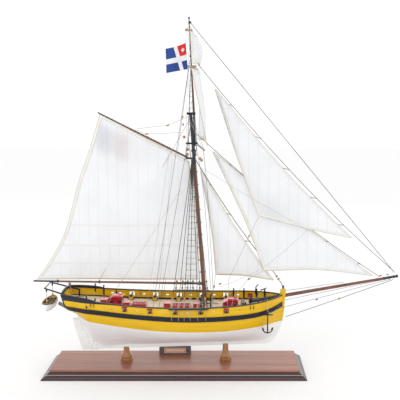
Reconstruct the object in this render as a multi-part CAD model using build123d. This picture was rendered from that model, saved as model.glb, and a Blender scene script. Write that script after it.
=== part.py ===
from build123d import *
import math
import os

# Display model of an early nineteenth-century armed cutter on a turned-pedestal stand.
# Millimetres. X runs forward (bow +X), Y to port, Z up. The origin is the centre of the
# underside of the display base. Everything that leans with the ship keeps this one frame.

# ---- driving dimensions: display stand ----
BASE_LENGTH = 449.0
BASE_WIDTH = 120.0
BASE_HEIGHT = 15.0
TOP_LENGTH = 425.0
TOP_WIDTH = 97.0
PANEL_THICK = 4.0
PEDESTAL_X = 87.0
PEDESTAL_FOOT_R = 10.5
PEDESTAL_TOP_R = 4.8
SCREW_R = 1.2
FIT = 0.05

# ---- driving dimensions: hull ----
KEEL_HALF = 2.0
KEEL_DEPTH = 6.0
KEEL_SLOPE = 0.033
KEEL_AT_MIDSHIPS = 40.7
SHEER_LOW_X = 25.0
SHEER_LOW_Z = 124.0
SHEER_CURVE = 0.00032
BULWARK = 15.0
SKIN = 1.8
DECK_THICK = 1.6
DECK_CAMBER = 2.6
CAP_THICK = 1.5
TOPSIDE_RISE = 14.0
HEEL = Vector(-143.7, 0, 34.0)
STERNPOST_LEAN = Vector(-25.3, 0, 59.5)
TRANSOM_FOOT = (-184.5, 112.0)
TRANSOM_RAKE = -0.30
TRANSOM_THICK = 2.4
TRANSOM_SIDE_Z = 140.5
TRANSOM_CROWN_Z = 144.2

# Hull stations: x, half breadth at the rail, height of the rabbet, fullness, hollow.
STATIONS = [
    (-203, 29.0, 125.0, 6.0, 0.00),
    (-195, 31.5, 118.0, 6.0, 0.00),
    (-187, 34.0, 112.0, 5.0, 0.05),
    (-177, 37.0, 103.0, 4.2, 0.20),
    (-167, 39.5, 93.5, 3.5, 0.40),
    (-157, 42.0, 77.0, 2.9, 0.60),
    (-147, 44.0, 55.0, 2.5, 0.72),
    (-133, 46.3, 43.5, 2.3, 0.75),
    (-100, 51.0, 43.6, 2.6, 0.55),
    (-60, 55.0, 45.0, 3.0, 0.32),
    (-10, 57.0, 46.5, 3.5, 0.14),
    (40, 56.7, 48.0, 3.6, 0.10),
    (85, 53.3, 49.5, 3.3, 0.12),
    (115, 47.8, 50.5, 2.9, 0.18),
    (138, 40.2, 51.5, 2.5, 0.22),
    (155, 31.0, 53.5, 2.2, 0.25),
    (167, 22.3, 60.0, 1.9, 0.25),
    (176, 14.3, 71.0, 1.6, 0.20),
    (182, 7.8, 86.0, 1.4, 0.10),
    (186, 3.0, 106.0, 1.2, 0.00),
]

# Sheer lines of the outer works as (x, z) points from the transom to the stem.
WALE_TOP = [(-200, 121.5), (-137, 118.6), (-67, 113.6), (20, 109.2), (132, 111.8), (162, 115.4), (192, 123.5)]
QUARTER_TOP = [(-216, 144.8), (-195, 142.4), (-174, 141.2), (-150, 138.4), (-140, 136.4), (-128, 133.0)]
WALE_HEIGHT = 8.4
WALE_GROOVE = 0.8
WALE_OUT = 1.2

GUN_X = [-82.0, -39.5, 3.0, 45.5, 88.0]
CLOSED_PORT_X = [-137.0, 131.5]
PORT_WIDTH = 9.0
PORT_HEIGHT = 7.5
PORT_BELOW_RAIL = 2.7
SWEEP_X = [-117.0, -103.0, -60.5, -18.0, 24.0, 67.0, 110.0]

# ---- driving dimensions: spars as (x, y, z) ends ----
MAST_HEEL = (54.8, 0, 74.0)
MAST_HOUNDS = (33.57, 0, 372.0)
MAST_HEAD = (28.3, 0, 446.0)
MAST_R_DECK = 3.8
MAST_R_HOUNDS = 3.0
MAST_R_HEAD = 2.4
TOPMAST_FOOT = (35.6, 0, 392.0)
TOPMAST_TRUCK = (26.3, 0, 605.0)
BOWSPRIT_HEEL = (129.0, 6.6, 119.4)
BOWSPRIT_STEM_SHARE = 0.245
BOWSPRIT_END = (388.0, 6.6, 165.0)
BOWSPRIT_R = 3.2
BOWSPRIT_TIP_R = 2.1
BOOM_JAW = (43.4, 0, 153.3)
BOOM_END = (-246.0, 0, 157.8)
GAFF_JAW = (25.0, 0, 371.0)
GAFF_PEAK = (-128.0, 0, 448.0)
YARDS = [
    # name, centre, half length, middle radius, degrees that the port end is braced forward
    ("lower", (42.6, 0, 392.0), 116.0, 1.9, -5.6),
    ("topsail", (32.6, 0, 521.0), 85.0, 1.5, 3.4),
    ("topgallant", (29.4, 0, 580.0), 58.0, 1.2, 3.4),
]
CHANNEL_X = (-9.0, 59.0)
CHAINPLATE_X = [-3.0, 8.5, 18.0, 28.0, 40.5, 54.0]
ROPE = 0.45
THIN_ROPE = 0.3

BOTTOM = (Align.CENTER, Align.CENTER, Align.MIN)


# ---- helpers ----
def block(x0, x1, y0, y1, z0, z1):
    middle = Pos((x0 + x1) / 2, (y0 + y1) / 2, (z0 + z1) / 2)
    return middle * Box(x1 - x0, y1 - y0, z1 - z0)


def rod(start, end, r_start, r_end=None):
    """Round straight spar, pin or rope between two points."""
    start = Vector(start)
    run = Vector(end) - start
    plane = Plane(origin=start, z_dir=run)
    if r_end is None or abs(r_end - r_start) < 1e-6:
        return plane * Cylinder(r_start, run.length, align=BOTTOM)
    return plane * Cone(r_start, r_end, run.length, align=BOTTOM)


def spar(start, end, stops):
    """Straight turned spar; stops are (share of the length, radius) from the start."""
    run = Vector(end) - Vector(start)
    profile = [(radius, share * run.length) for share, radius in stops]
    outline = Polyline((0, 0), *profile, (0, run.length), close=True)
    turned = revolve(Plane.XZ * make_face(outline), Axis.Z)
    return Plane(origin=Vector(start), z_dir=run) * turned


def between(start, end, share):
    return Vector(start) + (Vector(end) - Vector(start)) * share


def shorten(start, end, at_start, at_end):
    """The same straight run with a length taken off each end."""
    way = (Vector(end) - Vector(start)).normalized()
    return Vector(start) + way * at_start, Vector(end) - way * at_end


def upright(points, y0, y1):
    """Outline in the XZ plane given a thickness across the ship."""
    face = Plane.XZ.offset(-y1) * make_face(Polyline(*points, close=True))
    return extrude(face, amount=y1 - y0)


def athwart(points, x0, x1):
    """Outline in the YZ plane given a thickness along the ship."""
    face = Plane.YZ.offset(x0) * make_face(Polyline(*points, close=True))
    return extrude(face, amount=x1 - x0)


def plate(corners, thick):
    """Flat sheet through corners that lie in one plane, centred on that plane."""
    points = [Vector(c) for c in corners]
    normal = (points[1] - points[0]).cross(points[2] - points[0]).normalized()
    lift = normal * (-thick / 2)
    face = make_face(Polyline(*[p + lift for p in points], close=True))
    return extrude(face, amount=thick, dir=normal)


def along(points, x):
    """Smooth height of a line through (x, z) points: cubic Hermite between neighbours."""
    last = len(points) - 2
    k = 0
    while k < last and x > points[k + 1][0]:
        k += 1
    (xa, za), (xb, zb) = points[k], points[k + 1]
    before = points[k - 1] if k > 0 else points[k]
    after = points[k + 2] if k < last else points[k + 1]
    slope_a = (zb - before[1]) / (xb - before[0])
    slope_b = (after[1] - za) / (after[0] - xa)
    t = (x - xa) / (xb - xa)
    run = xb - xa
    rise = (3 * t * t - 2 * t ** 3) * (zb - za)
    lean = (t - 2 * t * t + t ** 3) * slope_a * run + (t ** 3 - t * t) * slope_b * run
    return za + rise + lean


def rail_z(x):
    return SHEER_LOW_Z + SHEER_CURVE * (x - SHEER_LOW_X) ** 2


def deck_z(x, y=0.0):
    return rail_z(x) - BULWARK + DECK_CAMBER * (1 - (y / 60.0) ** 2)


def wale_z(x):
    return along(WALE_TOP, x)


def half_breadth(x):
    return along([(s[0], s[1]) for s in STATIONS], x)


def keel_z(x):
    return KEEL_AT_MIDSHIPS + KEEL_SLOPE * x


def sheer_band(lower, upper, x0, x1, step=14.0):
    """Everything between two sheer lines, right across the ship."""
    count = max(3, int((x1 - x0) / step))
    xs = [x0 + (x1 - x0) * k / count for k in range(count + 1)]
    low = Spline(*[(x, lower(x)) for x in xs])
    high = Spline(*[(x, upper(x)) for x in reversed(xs)])
    ends = [Line(low @ 1, high @ 0), Line(high @ 1, low @ 0)]
    face = Plane.XZ.offset(-80) * make_face([low, ends[0], high, ends[1]])
    return extrude(face, amount=160)


def port_side(shape):
    return Compound([s for s in shape.solids() if s.center().Y > 0])


def starboard_side(shape):
    return Compound([s for s in shape.solids() if s.center().Y < 0])


def both_sides(shape):
    """The shape and its mirror image across the centre plane."""
    solids = list(shape.solids())
    solids += list(mirror(shape, about=Plane.XZ).solids())
    return Compound(solids)


def group(*shapes):
    """Several shapes kept as separate solids of one node."""
    solids = []
    for shape in shapes:
        solids += list(shape.solids())
    return Compound(solids)


def cut_each(shape, *tools):
    """Each solid of a node cut by the pieces that it meets."""
    kept = []
    for solid in shape.solids():
        rest = solid
        for tool in tools:
            rest = rest - tool
        kept += list(rest.solids())
    return Compound(kept)


# ---- hull form ----
def station_wire(x, half, rabbet, power, hollow, inset):
    """Closed section of the hull, from the rabbet round the bilge to above the rail."""
    low = rabbet + 2 * inset
    inner = max(KEEL_HALF - inset, 0.3)
    top = rail_z(x)
    side = []
    for k in range(8):
        t = (k / 7.0) ** 1.5
        share = (1 - (1 - t) ** power) * (1 - hollow * (1 - t) ** 2)
        side.append((inner + (half - inset - inner) * share, low + (top - low) * t))
    crown = top + TOPSIDE_RISE
    port = Spline(*side)
    starboard = Spline(*[(-y, z) for y, z in reversed(side)])
    wide = half - inset
    lines = [
        port,
        Line((wide, top), (wide, crown)),
        Line((wide, crown), (-wide, crown)),
        Line((-wide, crown), (-wide, top)),
        starboard,
        Line((-inner, low), (inner, low)),
    ]
    return Plane.YZ.offset(x) * make_face(lines)


def hull_body(inset):
    """Solid form of the hull, moved in or out from the outside of the planking."""
    sections = [station_wire(*s, inset) for s in STATIONS if s[1] - inset > 1.6]
    return loft(sections)


def aft_of(gap):
    """Everything aft of the raked transom plane moved forward by a gap."""
    x, z = TRANSOM_FOOT
    low = (x + gap - TRANSOM_RAKE * 30, z - 30)
    high = (x + gap + TRANSOM_RAKE * 60, z + 60)
    return upright([low, high, (-260, z + 60), (-260, z - 30)], -80, 80)


def under_deck(depth, top_gap=0.0):
    """Cambered slab whose upper side is the deck surface."""
    faces = []
    for x in (-205, -150, -90, -30, 30, 90, 150, 200):
        edge = deck_z(x, 60) - top_gap
        arc = ThreePointArc((-60, edge), (0, edge + DECK_CAMBER), (60, edge))
        foot = Polyline((60, edge), (60, edge - depth), (-60, edge - depth), (-60, edge))
        faces.append(Plane.YZ.offset(x) * make_face([arc, foot]))
    return loft(faces)


# ---- display stand ----
def base_panel():
    panel = Pos(0, 0, BASE_HEIGHT - PANEL_THICK) * Box(TOP_LENGTH, TOP_WIDTH, PANEL_THICK, align=BOTTOM)
    panel = chamfer(panel.edges().group_by(Axis.Z)[-1], 0.5)
    return cut_each(panel, screw_holes(SCREW_R + FIT))


def base_moulding():
    """Solid plinth with a routed edge: foot, slanted bevel, groove and upper fillet."""
    grow_x = BASE_LENGTH - TOP_LENGTH
    grow_y = BASE_WIDTH - TOP_WIDTH

    def layer(z, share):
        sketch = Rectangle(TOP_LENGTH + grow_x * share, TOP_WIDTH + grow_y * share)
        return Plane.XY.offset(z) * sketch

    top = BASE_HEIGHT - PANEL_THICK
    foot = extrude(layer(0, 1.0), amount=1.5)
    bevel = loft([layer(1.5, 1.0), layer(5.5, 0.55)])
    groove = extrude(layer(5.5, 0.30), amount=1.2)
    fillet_band = loft([layer(6.7, 0.46), layer(top - 0.8, 0.10)])
    line = extrude(layer(top - 0.8, -0.12), amount=0.8)
    plinth = foot + bevel + groove + fillet_band + line
    heads = [Pos(x, 0, 0) * Cylinder(3.3, 3.0, align=BOTTOM) for x in (-PEDESTAL_X, PEDESTAL_X)]
    return cut_each(plinth, screw_holes(SCREW_R + FIT), heads[0], heads[1])


def screw_holes(radius):
    holes = [Pos(x, 0, -1) * Cylinder(radius, 55, align=BOTTOM) for x in (-PEDESTAL_X, PEDESTAL_X)]
    return holes[0] + holes[1]


def pedestal(x):
    """Turned pedestal with a slot across its top for the keel."""
    height = keel_z(x) + 2.2 - BASE_HEIGHT
    foot, top = PEDESTAL_FOOT_R, PEDESTAL_TOP_R
    profile = [
        (0, 0), (foot - 0.2, 0), (foot, 0.7), (foot, 4.2), (foot - 0.5, 5.0), (foot - 1.2, 5.3),
        (foot - 1.2, 6.2), (foot - 0.7, 6.8), (foot - 0.8, 8.4), (foot - 1.5, 10.2), (foot - 2.9, 12.6),
        (top + 1.5, 15.0), (top + 0.6, 18.0), (top + 0.15, 22.0), (top, height), (0, height),
    ]
    turned = revolve(Plane.XZ * make_face(Polyline(*profile, close=True)), Axis.Z)
    turned = Pos(x, 0, BASE_HEIGHT) * turned
    slot = upright([(x - 15, keel_z(x - 15)), (x + 15, keel_z(x + 15)), (x + 15, 70), (x - 15, 70)],
                   -KEEL_HALF - FIT, KEEL_HALF + FIT)
    return cut_each(turned, slot, screw_holes(SCREW_R + FIT))


def pedestal_screws():
    screws = []
    for x in (-PEDESTAL_X, PEDESTAL_X):
        tip = keel_z(x) + 4.0
        shank = Pos(x, 0, 0.8) * Cylinder(SCREW_R, tip - 0.8, align=BOTTOM)
        head = Pos(x, 0, 0.8) * Cylinder(3.1, 2.2, align=BOTTOM)
        cross = Pos(x, 0, 0.8) * Box(4.0, 0.7, 0.8, align=BOTTOM)
        screws.append(shank + head - cross)
    return group(*screws)


NAME_X = (-32.0, 25.0)
NAME_Y = 31.0
NAME_TOP = 29.5


def name_block():
    section = [(NAME_Y - 3.5, BASE_HEIGHT), (NAME_Y + 6.5, BASE_HEIGHT), (NAME_Y + 3.0, NAME_TOP),
               (NAME_Y - 0.5, NAME_TOP)]
    block_body = athwart(section, *NAME_X)
    return chamfer(block_body.edges().filter_by(Axis.X).group_by(Axis.Z)[-1], 0.5)


def name_plate():
    """Blank metal plate on the sloping front of the name block."""
    low = Vector(0, NAME_Y - 3.5, BASE_HEIGHT)
    high = Vector(0, NAME_Y - 0.5, NAME_TOP)
    middle = (low + high) * 0.5 + Vector((NAME_X[0] + NAME_X[1]) / 2, 0, 0)
    slope = Plane(origin=middle, x_dir=(1, 0, 0), z_dir=(0, -(high - low).Z, (high - low).Y))
    return slope * Box(39.0, 9.2, 0.6, align=BOTTOM)


# ---- backbone ----
def keel():
    top = KEEL_DEPTH + 3
    points = [(HEEL.X + 1.2, HEEL.Z), (HEEL.X + 3, keel_z(HEEL.X + 3)), (152, keel_z(152)), (152, keel_z(152) + top),
              (-132, keel_z(-132) + top), (-141, keel_z(-141) + KEEL_DEPTH)]
    body = upright(points, -KEEL_HALF, KEEL_HALF)
    return cut_each(body, screw_holes(SCREW_R + FIT), sternpost_block())


def sternpost_block():
    """Raked post that carries the rudder, from the keel heel to the counter."""
    lean = STERNPOST_LEAN.normalized()
    foot = HEEL + Vector(1.3, 0, -0.1)
    head = foot + lean * 66.5
    points = [(foot.X, foot.Z), (foot.X + 5.0, foot.Z + 0.2), (head.X + 5.0, head.Z), (head.X, head.Z)]
    return upright(points, -KEEL_HALF, KEEL_HALF)


def sternpost():
    """The post scalloped for the round head of the rudder."""
    return sternpost_block() - stock_hole()


def horn_timber(outer, inner):
    """Centre timber of the counter, bored for the rudder stock."""
    slab = block(-215, -165.5, -KEEL_HALF, KEEL_HALF, 85, 160)
    timber = (outer & slab) - inner - aft_of(TRANSOM_THICK + 0.05) - sternpost_block() - stock_hole()
    biggest = timber.solids().sort_by(SortBy.VOLUME)[-1]
    return biggest


def stem():
    """Stem and forefoot: a plate whose front edge runs from the keel to the rail."""
    front = [Line((152, keel_z(152)), (160, keel_z(152) + 0.7)),
             Spline((160, keel_z(152) + 0.7), (172, 54.5), (179, 65.5), (187, 91), (192.2, 143.5)),
             Line((192.2, 143.5), (182.6, 143.5)),
             Spline((182.6, 143.5), (177.5, 96), (169, 72), (152, keel_z(152) + KEEL_DEPTH + 3)),
             Line((152, keel_z(152) + KEEL_DEPTH + 3), (152, keel_z(152)))]
    face = Plane.XZ.offset(-KEEL_HALF) * make_face(front)
    return extrude(face, amount=2 * KEEL_HALF)


def backbone_slab():
    return block(-170, 215, -KEEL_HALF, KEEL_HALF, 20, 170) + block(
        -215, -169.9, -KEEL_HALF, KEEL_HALF, 85, 118)


# ---- hull shell ----
def planking(shell):
    return shell & sheer_band(lambda x: 25.0, lambda x: rail_z(x) - BULWARK - 1.0, -210, 200)


def bulwarks(shell):
    band = sheer_band(lambda x: rail_z(x) - BULWARK - 1.0, rail_z, -210, 200)
    return (shell & band) - port_holes() - sweep_holes()


def port_holes():
    holes = []
    for x in GUN_X + CLOSED_PORT_X:
        top = rail_z(x) - PORT_BELOW_RAIL
        holes.append(block(x - PORT_WIDTH / 2, x + PORT_WIDTH / 2, -80, 80, top - PORT_HEIGHT, top))
    return Compound(holes)


def sweep_holes():
    holes = []
    for x in SWEEP_X:
        ellipse = Plane.XZ.offset(-80) * (Pos(x, rail_z(x) - 6.2) * Ellipse(2.5, 1.3))
        holes.append(extrude(ellipse, amount=160))
    return Compound(holes)


def backbone_gap():
    return block(-230, 215, -KEEL_HALF - FIT, KEEL_HALF + FIT, 20, 180)


def wales():
    split = WALE_HEIGHT / 2
    ring = hull_body(-WALE_OUT) - hull_body(-FIT) - backbone_gap() - aft_of(0.4)
    top = ring & sheer_band(lambda x: wale_z(x) - split + WALE_GROOVE / 2, wale_z, -205, 195)
    low = ring & sheer_band(lambda x: wale_z(x) - WALE_HEIGHT,
                            lambda x: wale_z(x) - split - WALE_GROOVE / 2, -205, 195)
    return group(top, low)


def waterways():
    ring = hull_body(SKIN + FIT) - hull_body(SKIN + 1.4) - aft_of(TRANSOM_THICK + 0.3)
    ring = ring & sheer_band(lambda x: rail_z(x) - BULWARK - 1, lambda x: rail_z(x) - BULWARK + 3.2, -205, 183)
    ring = ring - under_deck(20, top_gap=-0.03)
    return group(*[s for s in ring.solids() if s.volume > 20])


def cap_rail():
    ring = hull_body(-0.8) - hull_body(SKIN + 0.9)
    band = sheer_band(rail_z, lambda x: rail_z(x) + CAP_THICK, -208, 200)
    caps = (ring & band) - aft_of(TRANSOM_THICK + 0.1) - stem_gap() - bowsprit_spar(0.1)
    return group(*[s for s in caps.solids() if s.volume > 20])


def stem_gap():
    return block(181.5, 215, -KEEL_HALF - FIT, KEEL_HALF + FIT, 100, 180)


def seat_z(x):
    """Top of the rail, raised along the quarters."""
    if x < QUARTER_TOP[-1][0]:
        return along(QUARTER_TOP, x)
    return rail_z(x) + CAP_THICK


def quarter_rails():
    """Raised solid rails on the quarters, from the transom to the aftermost port."""
    ring = hull_body(-0.8) - hull_body(SKIN + 0.9) - aft_of(TRANSOM_THICK + 0.1)
    xs = list(range(-216, -128, 4))
    low = [(x, rail_z(x) + CAP_THICK + 0.02) for x in xs]
    high = [(x, seat_z(x)) for x in reversed(xs)]
    raised = ring & upright(low + high, -80, 80)
    return group(*[s for s in raised.solids() if s.volume > 20])


def transom(outer):
    """Raked stern board with an arched top and two oval stern ports."""
    board = outer & (aft_of(TRANSOM_THICK) - aft_of(0))
    side, crown = TRANSOM_SIDE_Z, TRANSOM_CROWN_Z
    arc_top = ThreePointArc((40, side), (0, crown), (-40, side))
    sides = Polyline((40, side), (60, side), (60, 90), (-60, 90), (-60, side), (-40, side))
    face = Plane.YZ.offset(-215) * make_face([arc_top, sides])
    board = board & extrude(face, amount=60)
    return board - stern_port_tool(2.6, 3.9) - davit_beam(-1, FIT) - davit_beam(1, FIT)


def transom_plane(y, height):
    """Plane on the after face of the transom, its Z pointing aft and its Y up the slope."""
    x, z = TRANSOM_FOOT
    origin = Vector(x + TRANSOM_RAKE * (height - z), y, height)
    return Plane(origin=origin, x_dir=(0, -1, 0), z_dir=(-1, 0, TRANSOM_RAKE))


def stern_port_tool(ry, rz):
    tools = []
    for y in (-13.0, 13.0):
        oval = transom_plane(y, 132.0) * Ellipse(ry, rz)
        tools.append(extrude(oval, amount=4, both=True))
    return Compound(tools)


def deck():
    body = hull_body(SKIN + FIT) & under_deck(DECK_THICK)
    body = body - aft_of(TRANSOM_THICK + 0.1) - mast_hole() - stock_hole() - stem_gap_deck()
    return body.solids().sort_by(SortBy.VOLUME)[-1]


def stem_gap_deck():
    return block(172, 215, -KEEL_HALF - FIT, KEEL_HALF + FIT, 90, 180)


def mast_hole():
    return rod(MAST_HEEL, between(MAST_HEEL, MAST_HOUNDS, 0.2), 4.1)


def bulkheads(inner):
    space = inner & hold_space()
    frames = []
    for x in (-130, -85, -40, 5, 90, 130):
        frames.append((space & block(x - 1.5, x + 1.5, -70, 70, 30, 130)) - spine_slab())
    return group(*frames)


def hold_space():
    """Room below the deck planks."""
    return sheer_band(lambda x: 45.0, lambda x: rail_z(x) - BULWARK - DECK_THICK - 0.3, -175, 178)


def spine_slab():
    return block(-180, 180, -1.5 - FIT, 1.5 + FIT, 30, 130)


def spine(inner):
    body = (inner & block(-158, 160, -1.5, 1.5, 30, 130)) & hold_space()
    body = body - rod(MAST_HEEL, between(MAST_HEEL, MAST_HOUNDS, 0.2), 4.1)
    body = body - upright([(-160, 30), (-125, 30), (-125, keel_z(0) + 12), (-150, 95), (-175, 95)], -9, 9)
    body = body - upright([(-130, 30), (150, 30), (150, keel_z(150) + 9.2), (-130, keel_z(-130) + 9.2)], -9, 9)
    body = body - upright([(149, 30), (190, 30), (190, 130), (160, 130), (156, 70), (149, 59)], -9, 9)
    return body.solids().sort_by(SortBy.VOLUME)[-1]


# ---- rudder ----
def rudder_plane():
    lean = STERNPOST_LEAN.normalized()
    aft = Vector(-lean.Z, 0, lean.X)
    return Plane(origin=HEEL, x_dir=aft, z_dir=lean)


GUDGEON_S = [8.0, 30.0, 51.0]
STOCK_R = 1.5
STOCK_FOOT = 57.0
STOCK_HEAD = 106.0


def stock_hole():
    return rudder_plane() * (Pos(0, 0, STOCK_FOOT - 1) * Cylinder(STOCK_R + 0.1, 65, align=BOTTOM))


def rudder():
    """Blade on the raked hinge line, with a round stock up through the counter."""
    frame = rudder_plane()
    outline = Polyline((0.4, 0.8), (18.4, 7.4), (14.2, 50.0), (10.6, 67.0), (0.4, 62.8), close=True)
    blade = extrude(Plane.XZ.offset(-1.3) * make_face(outline), amount=2.6)
    stock = Pos(0, 0, STOCK_FOOT) * Cylinder(STOCK_R, STOCK_HEAD - STOCK_FOOT, align=BOTTOM)
    body = blade + stock
    for s in GUDGEON_S:
        body = body - Pos(0, 0, s) * Box(4.4, 6, 4.4)
    return frame * body


def pintles():
    """Pins on the rudder, each with a strap round the blade."""
    frame = rudder_plane()
    parts = []
    for s in GUDGEON_S:
        pin = Pos(0, 0, s - 2.0) * Cylinder(0.6, 3.2, align=BOTTOM)
        boss = Pos(0, 0, s + 0.6) * Cylinder(1.05, 1.5, align=BOTTOM)
        arm = Pos(4.5, 0, s + 0.6) * Box(9.6, 3.2, 1.5, align=BOTTOM)
        parts.append(frame * (pin + boss + arm))
    return cut_each(group(*parts), rudder())


def gudgeons(outer):
    """Rings on the sternpost that hold the pintles."""
    frame = rudder_plane()
    parts = []
    for s in GUDGEON_S:
        ring = Pos(0, 0, s - 1.6) * Cylinder(1.25, 1.6, align=BOTTOM)
        arm = Pos(-3.6, 0, s - 1.6) * Box(6.8, 4.8, 1.6, align=BOTTOM)
        hole = Pos(0, 0, s - 3) * Cylinder(0.65, 5, align=BOTTOM)
        parts.append(frame * (ring + arm - hole))
    straps = cut_each(group(*parts), sternpost_block(), keel(), outer)
    return group(*[s for s in straps.solids() if s.volume > 3])


def tiller():
    """Bar on the head of the rudder stock, reaching forward over the deck."""
    frame = rudder_plane()
    head = HEEL + STERNPOST_LEAN.normalized() * (STOCK_HEAD - 3.0)
    collar = frame * (Pos(0, 0, STOCK_HEAD - 5.0) * Cylinder(2.4, 4.2, align=BOTTOM))
    bar = rod(head, head + Vector(27, 0, 2.2), 1.1, 0.7)
    grip = Pos(*(head + Vector(27, 0, 2.2))) * Sphere(1.0)
    tool = frame * (Pos(0, 0, 80) * Cylinder(STOCK_R, 30, align=BOTTOM))
    return (collar + bar + grip) - tool


# ---- deck fittings ----
def on_deck(shape):
    """Trim a fitting to stand on the cambered deck."""
    return cut_each(shape, under_deck(30, top_gap=-0.02))


AFT_HOUSE = (-117.0, -92.0, 10.5, 14.0, 7.0)
FORWARD_HOUSE = (82.5, 108.5, 9.0, 11.5, 8.0)


def deckhouse(x0, x1, half, height, slope):
    """Panelled companionway with a pitched end, a coaming and a sliding roof."""
    z = deck_z((x0 + x1) / 2)
    wall = upright([(x0, z - 6), (x1, z - 6), (x1, z + height), (x0 + slope, z + height), (x0, z + height * 0.72)],
                   -half, half)
    coaming = block(x0 - 0.8, x1 + 0.8, -half - 0.8, half + 0.8, z - 6, z + 1.6)
    house = wall + coaming
    for side in (-1, 1):
        for x in (x0 + 4.0 + slope / 2, x1 - 5.0):
            window = block(x - 3.4, x + 3.4, side * half - 0.6, side * half + 0.6, z + height * 0.3, z + height * 0.6)
            house = house - window
    return on_deck(house)


def house_roof(x0, x1, half, height, slope):
    z = deck_z((x0 + x1) / 2) + height
    roof = upright([(x0 + slope, z), (x1 + 1, z), (x1 + 1, z + 1.3), (x0 + slope - 0.6, z + 1.3)],
                   -half - 1, half + 1)
    hatch = block(x0 + slope + 2, x0 + slope + 10, -half * 0.55, half * 0.55, z + 1.3, z + 2.3)
    track = half * 0.6 + 0.4
    rails = [block(x0 + slope + 1, x1 - 1, y - 0.4, y + 0.4, z + 1.3, z + 2.6) for y in (-track, track)]
    return roof + hatch + rails[0] + rails[1]


def hatch_box(x0, x1, half, height):
    z = deck_z((x0 + x1) / 2)
    box = block(x0, x1, -half, half, z - 6, z + height)
    lid = block(x0 - 0.5, x1 + 0.5, -half - 0.5, half + 0.5, z + height, z + height + 1.0)
    return on_deck(box + lid)


def grating_hatch(x0, x1, half, height, cells_x, cells_y):
    """Coaming frame with a lattice of square holes."""
    z = deck_z((x0 + x1) / 2)
    frame = block(x0, x1, -half, half, z - 6, z + height)
    border = 1.6
    pitch_x = (x1 - x0 - 2 * border) / cells_x
    pitch_y = (2 * half - 2 * border) / cells_y
    holes = []
    for i in range(cells_x):
        for j in range(cells_y):
            cx = x0 + border + pitch_x * (i + 0.5)
            cy = -half + border + pitch_y * (j + 0.5)
            half_x, half_y = pitch_x * 0.33, pitch_y * 0.33
            holes.append(block(cx - half_x, cx + half_x, cy - half_y, cy + half_y, z + height - 1.8, z + height + 1))
    return on_deck(frame - Compound(holes))


def hatches():
    return group(hatch_box(-130, -119.5, 6.5, 6.0), hatch_box(-89.5, -79.5, 8.0, 5.0),
                 hatch_box(-20, -9, 7.5, 6.5), hatch_box(31, 42, 6.5, 6.0))


def gratings():
    return group(grating_hatch(-76, -51, 9.0, 4.5, 5, 4), grating_hatch(-6, 26, 10.0, 4.0, 7, 5))


def fife_rail():
    """Two pairs of posts at the mast with cross rails for belaying pins."""
    parts = []
    for x in (44.6, 61.4):
        z = deck_z(x)
        for y in (-9, 9):
            parts.append(block(x - 1.2, x + 1.2, y - 1.2, y + 1.2, z - 5, z + 19))
        parts.append(block(x - 1.0, x + 1.0, -13.5, 13.5, z + 13.5, z + 15.5))
    for y in (-9, 9):
        parts.append(block(44.6, 61.4, y - 0.9, y + 0.9, deck_z(53) + 8, deck_z(53) + 9.8))
    rail = parts[0]
    for part in parts[1:]:
        rail = rail + part
    return on_deck(rail)


TIMBERHEAD_X = (-147, -132, 102, 120.5, 143, 157)


def timberheads():
    """Heads of the frame timbers, standing on the rail."""
    posts = []
    for x in TIMBERHEAD_X:
        y = half_breadth(x) - 1.2
        z = max(seat_z(x - 1.2), seat_z(x + 1.2)) + 0.1
        posts.append(block(x - 1.1, x + 1.1, y - 1.1, y + 1.1, z, z + 4.2))
    return both_sides(group(*posts))


def bitts():
    """Posts and crosspiece that hold the heel of the bowsprit."""
    x = 131.0
    z = deck_z(x)
    y0 = BOWSPRIT_HEEL[1]
    posts = block(x - 1.6, x + 1.6, y0 - 6.6, y0 - 3.7, z - 5, z + 12)
    posts = posts + block(x - 1.6, x + 1.6, y0 + 3.7, y0 + 6.6, z - 5, z + 12)
    posts = posts + block(x - 3.4, x - 1.6, y0 - 10, y0 + 10, z + 4.6, z + 7.4)
    return cut_each(on_deck(posts), bowsprit_spar(0.2))


WINDLASS_X = 117.5
WINDLASS_Z = deck_z(WINDLASS_X) + 5.0


def windlass_posts():
    x = WINDLASS_X
    z = deck_z(x)
    parts = []
    for y in (-15.5, 15.5):
        post = block(x - 2.2, x + 2.2, y - 1.2, y + 1.2, z - 5, z + 8)
        parts.append(post - rod((x, y - 3, WINDLASS_Z), (x, y + 3, WINDLASS_Z), 1.05))
    return on_deck(group(*parts))


def windlass_drum():
    """Eight-sided barrel with square bar holes, turning on its end journals."""
    barrel = Plane.XZ.offset(-14.0) * (Pos(WINDLASS_X, WINDLASS_Z) * RegularPolygon(3.0, 8))
    body = extrude(barrel, amount=28.0)
    axle = rod((WINDLASS_X, -17.4, WINDLASS_Z), (WINDLASS_X, 17.4, WINDLASS_Z), 1.0)
    holes = []
    for y in (-10.5, -6.5, -2.5, 2.5, 6.5, 10.5):
        holes.append(block(WINDLASS_X - 0.5, WINDLASS_X + 0.5, y - 0.5, y + 0.5, WINDLASS_Z - 4, WINDLASS_Z + 4))
    return (body + axle) - Compound(holes)


# ---- guns ----
def gun_axis_z(x):
    return rail_z(x) - PORT_BELOW_RAIL - PORT_HEIGHT / 2 - 0.2


def gun_breech_y(x):
    return half_breadth(x) - 19.0


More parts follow.
